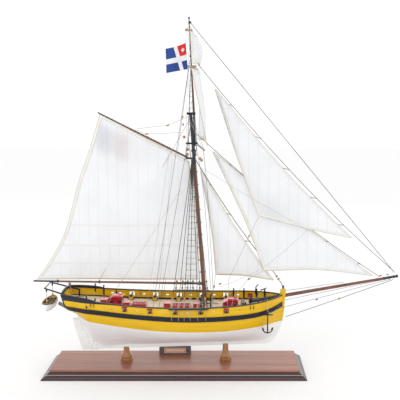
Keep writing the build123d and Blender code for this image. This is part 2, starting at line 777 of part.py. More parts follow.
def gun_barrel(x):
    """Carronade barrel, muzzle through the port on the port side."""
    length = 23.0
    profile = [(0, 0), (1.5, 0), (2.3, 1.0), (2.3, 3.0), (2.0, 3.4), (1.9, 10.0), (1.55, 10.6), (1.35, 21.0),
               (1.75, 21.8), (1.75, length), (0.75, length), (0.75, length - 5), (0, length - 5)]
    turned = revolve(Plane.XZ * make_face(Polyline(*profile, close=True)), Axis.Z)
    button = Pos(0, 0, -0.8) * Sphere(0.9)
    plane = Plane(origin=(x, gun_breech_y(x), gun_axis_z(x)), x_dir=(1, 0, 0), z_dir=(0, 1, 0))
    return plane * (turned + button)


def gun_carriage(x):
    """Stepped wooden carriage between two pairs of trucks."""
    y = gun_breech_y(x)
    z = gun_axis_z(x)
    floor = deck_z(x, y + 6) + 1.6
    steps = [(y - 3.0, floor), (y + 12, floor), (y + 12, z + 0.6), (y + 6, z + 0.6), (y + 6, z - 0.6),
             (y + 2.5, z - 0.6), (y + 2.5, z - 1.6), (y - 3.0, z - 1.6)]
    cheeks = athwart(steps, x - 3.2, x + 3.2)
    return cut_each(cheeks, gun_barrel(x), truck_axles(x, 0.55))


def truck_axles(x, radius):
    y = gun_breech_y(x)
    rods = []
    for ty in (y - 0.6, y + 9.6):
        z = deck_z(x, ty) + 1.9
        rods.append(rod((x - 4.6, ty, z), (x + 4.6, ty, z), radius))
    return rods[0] + rods[1]


def gun_trucks(x):
    y = gun_breech_y(x)
    wheels = []
    for ty in (y - 0.6, y + 9.6):
        z = deck_z(x, ty) + 1.9
        pair = rod((x - 4.4, ty, z), (x - 3.3, ty, z), 1.5) + rod((x + 3.3, ty, z), (x + 4.4, ty, z), 1.5)
        wheels.append(pair + rod((x - 4.6, ty, z), (x + 4.6, ty, z), 0.5))
    return group(*wheels)


def port_lids():
    """Closed lids in the ports at the two ends."""
    lids = []
    for x in CLOSED_PORT_X:
        top = rail_z(x) - PORT_BELOW_RAIL
        slab = block(x - PORT_WIDTH / 2 + FIT, x + PORT_WIDTH / 2 - FIT, 5, 80, top - PORT_HEIGHT + FIT, top - FIT)
        lids.append((hull_body(0.4) - hull_body(SKIN - 0.3)) & slab)
    return both_sides(group(*lids))


# ---- channels and anchors ----
def channels():
    x0, x1 = CHANNEL_X
    y0 = half_breadth((x0 + x1) / 2) + 0.95
    z = rail_z(25) - 0.4
    outline = Polyline((x0, y0), (x1, y0 - 0.4), (x1 - 4, y0 + 4.6), (x0 + 4, y0 + 5.2), close=True)
    boards = extrude(Plane.XY.offset(z) * make_face(outline), amount=2.2)
    boards = boards - hull_body(-0.85)
    slots = [block(x - 0.6, x + 0.6, channel_y(x) - 0.5, channel_y(x) + 0.5, z - 3, z + 6) for x in CHAINPLATE_X]
    return both_sides(boards - Compound(slots))


def channel_y(x):
    return half_breadth(x) + 3.9


def deadeye_z():
    return rail_z(25) + 5.2


def chainplates():
    """Iron straps from the lower deadeyes down to the wale."""
    straps = []
    for x in CHAINPLATE_X:
        top = Vector(x, channel_y(x), deadeye_z() - 2.0)
        low = Vector(x, half_breadth(x) + 1.7, wale_z(x) - 5.0)
        knee = Vector(x, channel_y(x), rail_z(25) - 0.8)
        straps.append(rod(top, knee, 0.35) + rod(knee, low, 0.35) + Pos(*knee) * Sphere(0.35))
    return both_sides(group(*straps))


def deadeyes():
    discs = []
    for x in CHAINPLATE_X:
        for share in (0.0, 1.0):
            centre = deadeye_centre(x, share)
            disc = Plane(origin=centre, x_dir=(1, 0, 0), z_dir=(0, 1, 0.12)) * Cylinder(1.9, 1.3)
            disc = fillet(disc.edges(), 0.3)
            discs.append(disc)
    return both_sides(group(*discs))


def deadeye_centre(x, share):
    lower = Vector(x, channel_y(x), deadeye_z())
    return between(lower, shroud_top(x), 0.055 * share)


def shroud_top(x):
    return Vector(MAST_HOUNDS[0] - 2.0 + (x - 28) * 0.05, 4.6, 369.0)


def lanyards():
    lines = []
    for x in CHAINPLATE_X:
        low = deadeye_centre(x, 0)
        high = deadeye_centre(x, 1)
        for dx in (-0.9, 0.0, 0.9):
            a, b = shorten(low + Vector(dx, 0, 0), high + Vector(dx, 0, 0), 2.0, 2.0)
            lines.append(rod(a, b, 0.28))
    return both_sides(group(*lines))


def shrouds():
    ropes = []
    for x in CHAINPLATE_X:
        a, b = shorten(deadeye_centre(x, 1), shroud_top(x), 2.1, 0.0)
        ropes.append(rod(a, b, 0.5))
    return both_sides(group(*ropes))


ANCHOR_X = 158.5
ANCHOR_Y = 36.0


def anchor():
    """Admiralty-pattern anchor hung at the bow: shank, arms, palms and ring."""
    x, y = ANCHOR_X, ANCHOR_Y
    shank = rod((x, y, 111), (x, y, 77.5), 0.9, 1.2)
    bend = Plane.XZ.offset(-y) * ThreePointArc((x - 8.6, 85.5), (x, 76.2), (x + 8.6, 85.5))
    start = Plane(origin=bend @ 0, z_dir=bend % 0)
    arms = sweep(start * Circle(1.0), path=bend)
    palms = []
    for side in (-1, 1):
        tip = Pos(x + side * 7.4, y, 83.6) * Rot(0, side * 38, 0) * Box(1.0, 4.6, 4.4)
        palms.append(tip)
    ring = Plane(origin=(x, y, 112.6), x_dir=(1, 0, 0), z_dir=(0, 1, 0)) * Torus(2.0, 0.4)
    body = shank + arms + palms[0] + palms[1]
    return group(body, ring)


def anchor_stock():
    x, y = ANCHOR_X, ANCHOR_Y
    bar = rod((x - 9.5, y, 107.8), (x, y, 107.8), 0.7, 1.3) + rod((x, y, 107.8), (x + 9.5, y, 107.8), 1.3, 0.7)
    return bar


# ---- spars ----
def lower_mast():
    return spar(MAST_HEEL, MAST_HEAD, [(0, MAST_R_DECK), (0.1, MAST_R_DECK), (0.8, MAST_R_HOUNDS), (1, MAST_R_HEAD)])


def topmast():
    pole = spar(TOPMAST_FOOT, TOPMAST_TRUCK, [(0, 1.45), (0.26, 1.45), (0.985, 0.8), (0.986, 1.5), (1, 1.5)])
    return cut_each(pole, lower_mast())


def crosstrees():
    """Trestle trees, crosstrees and mast cap, notched round both spars."""
    z = 395.0
    parts = []
    for y in (-3.9, 3.9):
        parts.append(block(20, 40, y - 1.0, y + 1.0, z, z + 2.6))
    for x in (23.5, 38.0):
        parts.append(block(x - 0.9, x + 0.9, -17, 17, z + 1.4, z + 3.2))
    trees = parts[0] + parts[1] + parts[2] + parts[3]
    cap = block(22.0, 36.4, -3.6, 3.6, 444.2, 448.4)
    return cut_each(group(trees, cap), lower_mast(), topmast())


def bowsprit_spar(gap=0.0):
    stops = [(0, BOWSPRIT_R + gap), (BOWSPRIT_STEM_SHARE, BOWSPRIT_R + gap), (1, BOWSPRIT_TIP_R + gap)]
    return spar(BOWSPRIT_HEEL, BOWSPRIT_END, stops)


def boom():
    body = spar(BOOM_JAW, BOOM_END, [(0, 1.6), (0.12, 2.1), (1, 1.5)])
    return cut_each(body + jaw_fork(BOOM_JAW), lower_mast())


def gaff():
    body = spar(GAFF_JAW, GAFF_PEAK, [(0, 1.5), (0.3, 1.9), (1, 1.1)])
    return cut_each(body + jaw_fork(GAFF_JAW), lower_mast())


def jaw_fork(jaw):
    """Horn each side of the mast."""
    x, y, z = jaw
    sides = [block(x - 3, x + 9, s * 4.6 - 0.8, s * 4.6 + 0.8, z - 1.2, z + 1.2) for s in (-1, 1)]
    back = block(x - 5, x - 1.8, -5.4, 5.4, z - 1.2, z + 1.2)
    return sides[0] + sides[1] + back


def yard_way(angle):
    """Direction of a braced yard, from its starboard end to its port end."""
    return Vector(math.sin(math.radians(angle)), math.cos(math.radians(angle)), 0)


def yard(centre, half, radius, angle):
    """Spar across the mast, tapered to both ends."""
    reach = yard_way(angle) * half
    return spar(Vector(centre) - reach, Vector(centre) + reach, [(0, radius * 0.5), (0.5, radius), (1, radius * 0.5)])


def yards():
    return group(*[yard(*row[1:]) for row in YARDS])


# ---- sails, flags ----
CLOTH = 0.7
MAINSAIL = [(43.0, 0, 161.0), (25.0, 0, 364.0), (-122.0, 0, 438.5), (-145, 0, 378), (-163, 0, 330), (-175, 0, 288),
            (-187, 0, 248), (-202, 0, 216), (-220, 0, 188), (-239.0, 0, 161.0)]


def mainsail():
    return plate(MAINSAIL, CLOTH)


def headsail(head, tack, clew, luff, foot, leech):
    """Triangular sail; each edge has (share, hollow) points drawn in towards the far corner."""
    head, tack, clew = Vector(head), Vector(tack), Vector(clew)
    corners = []
    for start, end, far, edge in ((head, tack, clew, luff), (tack, clew, head, foot), (clew, head, tack, leech)):
        corners.append(start)
        for share, hollow in edge:
            corners.append(between(between(start, end, share), far, hollow))
    return plate(corners, CLOTH)


def flying_jib():
    luff = [(0.25, 0.07), (0.5, 0.08), (0.75, 0.05)]
    return headsail((70.9, -1.4, 487.0), (304.0, -1.4, 234.0), (143.0, -15.5, 275.0), luff, [(0.5, 0.03)], [(0.5, -0.01)])


def jib():
    return headsail((67.2, 2.0, 382.0), (344.0, 5.0, 166.0), (153.5, -7.0, 177.5), [(0.5, 0.05)], [(0.5, 0.03)], [(0.5, -0.01)])


def fore_staysail():
    return headsail((46.2, 0.6, 350.0), (171.5, 0.6, 159.0), (70.2, 7.0, 166.0), [(0.4, 0.07)], [(0.5, 0.04)], [(0.5, 0.03)])


def square_sail(top_centre, top_half, top_angle, low_centre, low_half, low_angle):
    """Square sail stretched between two yards that are braced differently."""
    edges = []
    for centre, half, angle in ((top_centre, top_half, top_angle), (low_centre, low_half, low_angle)):
        plane = Plane(origin=centre, x_dir=yard_way(angle), z_dir=(0, 0, 1))
        edges.append(plane * Rectangle(2 * half, CLOTH))
    return loft(edges, ruled=True)


def square_sails():
    topsail = square_sail((38.1, 0, 517.5), 78, 3.4, (48.1, 0, 397.0), 104, -5.6)
    topgallant = square_sail((33.0, 0, 577.0), 52, 3.4, (38.0, 0, 525.0), 74, 3.4)
    return cut_each(group(topsail, topgallant), *[stay(run, 1.0) for run in stay_runs()])


def masthead_flag():
    return plate([(20.5, 0, 562.5), (23.6, 0, 520.5), (-6.0, 0, 517.5), (-11.5, 0, 555.0)], CLOTH)


def ensign():
    return plate([(-128.5, 7, 424), (-78, 7, 424), (-78, 7, 366), (-128.5, 7, 366)], CLOTH)


# ---- ship's boat ----
BOAT_X = -219.0
BOAT_HALF_LENGTH = 31.0
BOAT_GUNWALE = 123.2
BOAT_DEPTH = 15.2
DAVIT_END_Z = 150.4
BOAT_PIVOT_Z = 145.4
FALL_Y = 21.5


def boat_form(inset):
    faces = []
    for k in range(9):
        s = -1 + k / 4.0
        y = s * (BOAT_HALF_LENGTH - inset)
        half = (11.0 - inset) * (1 - abs(s) ** 2.6) ** 0.8 + 0.5
        keel_rise = 4.5 * abs(s) ** 3
        top = BOAT_GUNWALE + 2.0 * s * s + (3 if inset > 0 else 0)
        low = BOAT_GUNWALE - BOAT_DEPTH + keel_rise + inset
        side = Spline((0.3, low), (half * 0.62, low + 2.2), (half * 0.92, low + 6.0), (half, BOAT_GUNWALE + 2.0 * s * s))
        other = mirror(side, about=Plane.YZ)
        lines = [side, Line((half, BOAT_GUNWALE + 2.0 * s * s), (half, top + 0.01)),
                 Line((half, top + 0.01), (-half, top + 0.01)),
                 Line((-half, top + 0.01), (-half, BOAT_GUNWALE + 2.0 * s * s)), other, Line((-0.3, low), (0.3, low))]
        faces.append(Plane(origin=(BOAT_X, y, 0), x_dir=(1, 0, 0), z_dir=(0, -1, 0)) * make_face(lines))
    return loft(faces)


def boat_hull():
    return boat_form(0) - boat_form(1.0)


def boat_thwarts():
    inside = boat_form(1.05)
    seats = []
    for y in (-16, -3, 10, 21):
        seats.append(inside & block(BOAT_X - 15, BOAT_X + 15, y - 2.2, y + 2.2, BOAT_GUNWALE - 3.4, BOAT_GUNWALE - 2.4))
    return group(*seats)


def boat_falls():
    """Tackles that hang the boat from the davit ends."""
    parts = []
    for y in (-FALL_Y, FALL_Y):
        hook = Vector(BOAT_X, y, BOAT_GUNWALE - 0.9)
        eye = Plane(origin=(BOAT_X, y, BOAT_PIVOT_Z), x_dir=(1, 0, 0), z_dir=(0, 1, 0)) * Torus(1.15, 0.45)
        parts.append(rod(hook, (BOAT_X, y, BOAT_PIVOT_Z - 1.0), 0.45) + eye)
        parts.append(Pos(BOAT_X, y, BOAT_GUNWALE + 5.5) * Sphere(1.7))
        beam_z = BOAT_GUNWALE - 1.4
        parts.append(block(BOAT_X - 9.6, BOAT_X + 9.6, y - 0.8, y + 0.8, beam_z, beam_z + 1.0))
    falls = [parts[0] + parts[1] + parts[2], parts[3] + parts[4] + parts[5]]
    return cut_each(group(*falls), boat_hull(), boat_thwarts())


def davit_beam(side, gap=0.0):
    """Beam from the deck over the transom to the boat's tackle."""
    inboard = Vector(-171, side * 27.0, 135.0)
    end = Vector(BOAT_X - 4, side * FALL_Y, DAVIT_END_Z)
    return rod(inboard, end, 1.5 + gap, 1.2 + gap)


def stern_davits():
    """Two beams notched through the transom, joined by a spreader above the boat."""
    body = rod((BOAT_X - 3, -FALL_Y, DAVIT_END_Z - 0.3), (BOAT_X - 3, FALL_Y, DAVIT_END_Z - 0.3), 0.9)
    for side in (-1, 1):
        y = side * FALL_Y
        body = body + davit_beam(side) + rod((-172.5, side * 27.0, 118), (-172.5, side * 27.0, 135.4), 1.3)
        for cheek in (y - 1.0, y + 1.0):
            body = body + block(BOAT_X - 1, BOAT_X + 1, cheek - 0.35, cheek + 0.35, BOAT_PIVOT_Z - 0.9, DAVIT_END_Z - 0.8)
        body = body + rod((BOAT_X, y - 1.3, BOAT_PIVOT_Z), (BOAT_X, y + 1.3, BOAT_PIVOT_Z), 0.5)
    return on_deck(body)


# ---- rigging ----
TRUCK_STAY = ((28.4, 0, 596.0), (380.5, 3.4, 172.0), 0.0)
MASTHEAD_STAY = ((30.0, 0, 541.5), (381.0, 9.8, 172.6), 16.3)
TOPMAST_STAY = ((36.0, 0, 414.0), (356.5, 6.0, 163.2), 11.0)
FORESTAY = ((36.5, 0, 368.0), (170.0, 0, 174.5), 8.0)


def stay(points, radius=ROPE):
    """Rope through a list of points, made of straight runs with rounded knees."""
    path = [Vector(p) for p in points]
    rope = rod(path[0], path[1], radius)
    for a, b in zip(path[1:], path[2:]):
        rope = rope + Pos(*a) * Sphere(radius) + rod(a, b, radius)
    return rope


def hanging(start, end, sag):
    """Points of a rope drawn down by its sail, deepest at the middle."""
    points = []
    for k in range(9):
        t = k / 8
        points.append(between(start, end, t) - Vector(0, 0, 4 * sag * t * (1 - t)))
    return points


def stay_runs():
    runs = [list(TRUCK_STAY[:2])]
    runs += [hanging(*run) for run in (MASTHEAD_STAY, TOPMAST_STAY)]
    runs.append(hanging(*FORESTAY) + [Vector(174.6, 0, 167.8)])
    return runs


def stays():
    """Stays from the mast to the bowsprit and the stem."""
    ropes = [stay(run, 0.6 if run[0].Z < 380 else ROPE) for run in [[Vector(p) for p in r] for r in stay_runs()]]
    collar = stay([(180.4, 0, 158.9), (184.5, 0, 153.0), (187.2, 0, 144.1)], 0.6)
    return group(*ropes, collar)


def stay_hearts():
    discs = []
    for centre in ((175.9, 0, 165.8), (179.0, 0, 161.2)):
        disc = Plane(origin=centre, x_dir=(1, 0, 0), z_dir=(0, 1, 0)) * Cylinder(2.1, 1.4)
        discs.append(fillet(disc.edges(), 0.35))
    return group(*discs)


def backstays():
    """Running backstays and topmast backstays each side."""
    ropes = []
    for x, top in ((-24.0, (29.8, 2.6, 436.0)), (-34.0, (27.6, 1.4, 535.0))):
        foot = (x, half_breadth(x) - 1.0, rail_z(x) + CAP_THICK + 0.3)
        ropes.append(stay([top, foot], THIN_ROPE))
    return both_sides(group(*ropes))


def topping_lifts():
    ropes = [stay([(26.5, 2.8, 437.0), (-132.8, 3.2, 157.5)], THIN_ROPE),
             stay([(26.5, -2.8, 437.0), (-132.8, -3.2, 157.5)], THIN_ROPE)]
    return group(*ropes)


def peak_halyard():
    """Halyard of the gaff end, led through blocks at the gaff and the masthead."""
    ropes = [
        stay([(-66.0, 0, 420.0), (-48.0, 0, 412.6)], THIN_ROPE),
        stay([(-44.0, 0, 412.0), (11.6, 0, 414.6)], THIN_ROPE),
        stay([(-63.0, 0, 421.0), (-12.5, 0, 426.6)], THIN_ROPE),
        stay([(-8.5, 0, 427.4), (24.0, 0, 441.5)], THIN_ROPE),
    ]
    return group(*ropes)


def main_sheet():
    """Tackle of the boom: one block below the boom and a fall to the deck."""
    foot = (-174.0, -12.0, deck_z(-174, 12) + 0.4)
    ropes = [stay([(-183.7, 0, 156.2), (-183.7, 0, 154.4)], ROPE),
             stay([(-183.4, -1.0, 150.6), foot], ROPE)]
    return group(*ropes)


def bobstay():
    ropes = [stay([(192.0, 0, 93.5), (283.0, 3.4, 124.3)], ROPE),
             stay([(289.0, 3.6, 126.3), (380.0, 6.6, 158.6)], ROPE)]
    return group(*ropes)


def bowsprit_shrouds():
    ropes = []
    for side in (-1, 1):
        y_hull = side * 22.0
        y_end = 6.6 + side * 2.6
        ropes.append(stay([(171.5, y_hull, 113.0), (375.0, y_end, 160.0)], THIN_ROPE))
    return group(*ropes)


def head_sheets():
    """Sheets of the three headsails, each led aft through a block."""
    ropes = [
        stay([(142.6, -16.2, 272.4), (127.8, -17.0, 241.6)], THIN_ROPE),
        stay([(126.2, -17.4, 238.4), (92.5, -30.0, 168.0), (90.0, -49.0, 126.6)], THIN_ROPE),
        stay([(152.0, -7.6, 177.6), (128.8, -12.0, 165.6)], THIN_ROPE),
        stay([(126.0, -12.6, 163.4), (101.0, -38.0, 141.0), (97.5, -48.0, 127.0)], THIN_ROPE),
        stay([(69.8, 7.3, 167.2), (66.6, 12.5, 143.0), (63.6, 11.5, 127.2)], THIN_ROPE),
    ]
    return group(*ropes)


def yard_lifts():
    """Lifts that hold the yards level."""
    ropes = []
    spots = {"lower": (30.5, 443.0), "topsail": (27.4, 560.0), "topgallant": (25.8, 594.0)}
    for name, centre, half, _, angle in YARDS:
        top_x, top_z = spots[name]
        for side in (-1, 1):
            tip = Vector(centre) + yard_way(angle) * (side * half * 0.93) + Vector(0, 0, 1.4)
            ropes.append(stay([(top_x, side * 2.2, top_z), tip], THIN_ROPE))
    return group(*ropes)


BLOCK_SPOTS = [
    (126.9, -17.2, 240.0, 1.9), (127.3, -12.3, 164.5, 2.1), (-46.0, 0, 412.0, 2.0), (-10.5, 0, 426.7, 2.0),
    (286.0, 3.5, 125.3, 2.0), (-183.6, 0, 152.4, 1.9), (77.6, 12.0, 149.5, 1.9), (67.2, 12.9, 144.8, 1.9),
]


def rigging_blocks():
    """Wooden pulley blocks spliced into the running rigging."""
    blocks = []
    for x, y, z, radius in BLOCK_SPOTS:
        ball = Pos(x, y, z) * Sphere(radius)
        blocks.append(ball & Pos(x, y, z) * Box(2 * radius, radius * 1.2, 2 * radius))
    return group(*blocks)


# ---- build and write ----
def write(name, shape):
    solids = list(shape.solids())
    whole = Compound(solids) if len(solids) > 1 else solids[0]
    export_step(whole, f"parts/{name}.step")
    print(name, len(solids), round(sum(s.volume for s in solids), 1))


def main():
    os.makedirs("parts", exist_ok=True)
    outer = hull_body(0.0)
    inner = hull_body(SKIN)
    under = hull_body(SKIN + FIT)
    shell = outer - inner - aft_of(TRANSOM_THICK + FIT) - backbone_slab()
    skin = planking(shell)
    sides = bulwarks(shell)

    write("base_panel", base_panel())
    write("base_moulding", base_moulding())
    write("pedestals", group(pedestal(-PEDESTAL_X), pedestal(PEDESTAL_X)))
    write("pedestal_screws", pedestal_screws())
    write("name_block", name_block())
    write("name_plate", name_plate())
    write("backbone", group(keel(), sternpost(), stem(), horn_timber(outer, inner)))
    write("hull_frames", group(spine(under), bulkheads(under)))
    write("planking_port", port_side(skin))
    write("planking_starboard", starboard_side(skin))
    write("bulwark_port", cut_each(port_side(sides), bowsprit_spar(0.1)))
    write("bulwark_starboard", mirror(port_side(sides), about=Plane.XZ))
    write("transom", transom(outer))
    write("deck", deck())
    write("waterways", waterways())
    write("wales", wales())
    write("cap_rail", cap_rail())
    write("quarter_rails", quarter_rails())
    write("timberheads", timberheads())

    write("rudder", rudder())
    write("pintles", pintles())
    write("gudgeons", gudgeons(outer))
    write("tiller", tiller())

    write("aft_companionway", deckhouse(*AFT_HOUSE))
    write("forward_companionway", deckhouse(*FORWARD_HOUSE))
    write("companionway_roofs", group(house_roof(*AFT_HOUSE), house_roof(*FORWARD_HOUSE)))
    write("hatches", hatches())
    write("gratings", gratings())
    write("fife_rail", fife_rail())
    write("windlass_bitts", group(bitts(), windlass_posts()))
    write("windlass_drum", windlass_drum())

    write("gun_barrels", both_sides(group(*[gun_barrel(x) for x in GUN_X])))
    write("gun_carriages", both_sides(group(*[gun_carriage(x) for x in GUN_X])))
    write("gun_trucks", both_sides(group(*[cut_each(gun_trucks(x), gun_carriage(x)) for x in GUN_X])))
    write("port_lids", port_lids())
    write("channels", channels())
    write("chainplates", chainplates())
    write("deadeyes", group(deadeyes(), stay_hearts()))
    write("anchors", both_sides(anchor()))
    write("anchor_stocks", both_sides(cut_each(anchor_stock(), anchor())))

    write("lower_mast", lower_mast())
    write("topmast", topmast())
    write("crosstrees", crosstrees())
    write("bowsprit", bowsprit_spar())
    write("boom", boom())
    write("gaff", gaff())
    write("yards", yards())

    write("mainsail", mainsail())
    write("fore_staysail", fore_staysail())
    write("jib", jib())
    write("flying_jib", flying_jib())
    write("square_sails", square_sails())
    write("flags", group(masthead_flag(), ensign()))

    write("boat_hull", boat_hull())
    write("boat_fittings", boat_thwarts())
    write("boat_falls", boat_falls())
    write("stern_davits", stern_davits())

    spars = [lower_mast(), topmast(), boom(), gaff(), yards(), bowsprit_spar(), crosstrees()]
    write("standing_rigging", cut_each(group(shrouds(), stays(), backstays(), bobstay(), bowsprit_shrouds()), *spars))
    running = group(lanyards(), topping_lifts(), peak_halyard(), main_sheet(), head_sheets(), yard_lifts())
    write("running_rigging", cut_each(running, *spars, rigging_blocks()))
    write("rigging_blocks", rigging_blocks())


main()
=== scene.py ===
"""Looks for the rigged cutter model: sails, flags, cordage, paint, wood and light around the fixed frame.

Lengths are metres in the frame's own axes: X forward, Y to port, Z up.
"""

import math

import bmesh
import bpy
from mathutils import Matrix, Vector, noise


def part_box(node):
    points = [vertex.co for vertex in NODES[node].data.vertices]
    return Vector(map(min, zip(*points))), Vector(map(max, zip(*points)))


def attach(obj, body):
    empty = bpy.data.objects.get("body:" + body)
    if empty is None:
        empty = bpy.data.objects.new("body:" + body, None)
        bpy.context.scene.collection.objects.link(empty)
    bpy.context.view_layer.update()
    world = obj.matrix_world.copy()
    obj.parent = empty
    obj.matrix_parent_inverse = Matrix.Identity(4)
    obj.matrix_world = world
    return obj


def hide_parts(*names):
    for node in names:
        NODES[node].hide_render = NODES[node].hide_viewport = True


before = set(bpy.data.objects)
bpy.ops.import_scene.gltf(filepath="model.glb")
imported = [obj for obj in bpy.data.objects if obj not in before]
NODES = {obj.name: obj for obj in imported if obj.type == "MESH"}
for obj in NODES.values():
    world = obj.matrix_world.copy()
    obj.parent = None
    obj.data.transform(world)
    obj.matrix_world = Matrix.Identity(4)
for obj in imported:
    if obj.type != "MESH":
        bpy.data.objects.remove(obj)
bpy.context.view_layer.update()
MM = 0.001
SHIP = "ship"
SHARP_ANGLE = math.radians(35)


def mm(x, y, z):
    """A place given in millimetres."""
    return Vector((x * MM, y * MM, z * MM))


# ---------------------------------------------------------------- mesh helpers
def link(obj):
    bpy.context.scene.collection.objects.link(obj)
    return obj


def piece(name, mesh_or_curve, paint, slot, body=SHIP):
    """An object of the model: it is painted and rides on a body. The slot is not used."""
    obj = link(bpy.data.objects.new(name, mesh_or_curve))
    obj.data.materials.append(MAT[paint])
    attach(obj, body)
    return obj


def mesh_from(name, verts, faces, uvs=None):
    """A smooth mesh of listed corners and faces, with the flat cloth's measures as its UVs."""
    mesh = bpy.data.meshes.new(name)
    mesh.from_pydata([tuple(v) for v in verts], [], faces)
    if uvs:
        layer = mesh.uv_layers.new(name="cloth")
        for loop in mesh.loops:
            layer.data[loop.index].uv = uvs[loop.vertex_index]
    for polygon in mesh.polygons:
        polygon.use_smooth = True
    mesh.update()
    return mesh


def mesh_from_bmesh(name, bm):
    """A smooth mesh of everything in a bmesh, which is then freed."""
    bmesh.ops.recalc_face_normals(bm, faces=bm.faces)
    mesh = bpy.data.meshes.new(name)
    bm.to_mesh(mesh)
    bm.free()
    for polygon in mesh.polygons:
        polygon.use_smooth = True
    return mesh


def built(name, build, paint, slot, body=SHIP):
    """A piece whose mesh is filled by a bmesh function, smooth except at its sharp edges."""
    bm = bmesh.new()
    build(bm)
    mesh = mesh_from_bmesh(name, bm)
    mesh.set_sharp_from_angle(angle=SHARP_ANGLE)
    return piece(name, mesh, paint, slot, body)


def ropes(name, paths, radius, paint, slot, body=SHIP, resolution=2):
    """Round cordage: one curve object holding every listed path."""
    curve = bpy.data.curves.new(name, "CURVE")
    curve.dimensions = "3D"
    curve.bevel_depth = radius
    curve.bevel_resolution = resolution
    curve.use_fill_caps = True
    for path in paths:
        smooth = len(path) > 2
        spline = curve.splines.new("NURBS" if smooth else "POLY")
        spline.points.add(len(path) - 1)
        for point, place in zip(spline.points, path):
            point.co = (*place, 1.0)
        if smooth:
            spline.order_u = 3
            spline.use_endpoint_u = True
            spline.resolution_u = 6
    return piece(name, curve, paint, slot, body)


def sagging(start, end, sag, count=5):
    """Points of a rope that hangs a little between two places."""
    start, end = Vector(start), Vector(end)
    points = []
    for k in range(count + 1):
        t = k / count
        points.append(start.lerp(end, t) - Vector((0, 0, sag * 4 * t * (1 - t))))
    return points


def add_box(bm, centre, size, turn=None):
    matrix = Matrix.Translation(centre) @ (turn or Matrix.Identity(4)) @ Matrix.Diagonal((*size, 1.0))
    return bmesh.ops.create_cube(bm, size=1.0, matrix=matrix)


def add_ball(bm, centre, scale, turn=None, rings=8):
    matrix = Matrix.Translation(centre) @ (turn or Matrix.Identity(4)) @ Matrix.Diagonal((*scale, 1.0))
    return bmesh.ops.create_uvsphere(bm, u_segments=rings * 2, v_segments=rings, radius=1.0, matrix=matrix)


def add_rod(bm, start, end, r1, r2=None, segments=12):
    start, end = Vector(start), Vector(end)
    run = end - start
    turn = run.to_track_quat("Z", "Y").to_matrix().to_4x4()
    matrix = Matrix.Translation((start + end) / 2) @ turn
    return bmesh.ops.create_cone(bm, cap_ends=True, segments=segments, radius1=r1,
                                 radius2=r1 if r2 is None else r2, depth=run.length, matrix=matrix)


def add_ring(bm, centre, axis, major, minor, around=18, across=8):
    """A torus about an axis."""
    turn = Vector(axis).to_track_quat("Z", "Y").to_matrix()
    rows = []
    for i in range(around):
        a = 2 * math.pi * i / around
        row = []
        for j in range(across):
            b = 2 * math.pi * j / across
            local = Vector(((major + minor * math.cos(b)) * math.cos(a),
                            (major + minor * math.cos(b)) * math.sin(a), minor * math.sin(b)))
            row.append(bm.verts.new(Vector(centre) + turn @ local))
        rows.append(row)
    for i in range(around):
        for j in range(across):
            here, there = rows[i], rows[(i + 1) % around]
            bm.faces.new((here[j], there[j], there[(j + 1) % across], here[(j + 1) % across]))


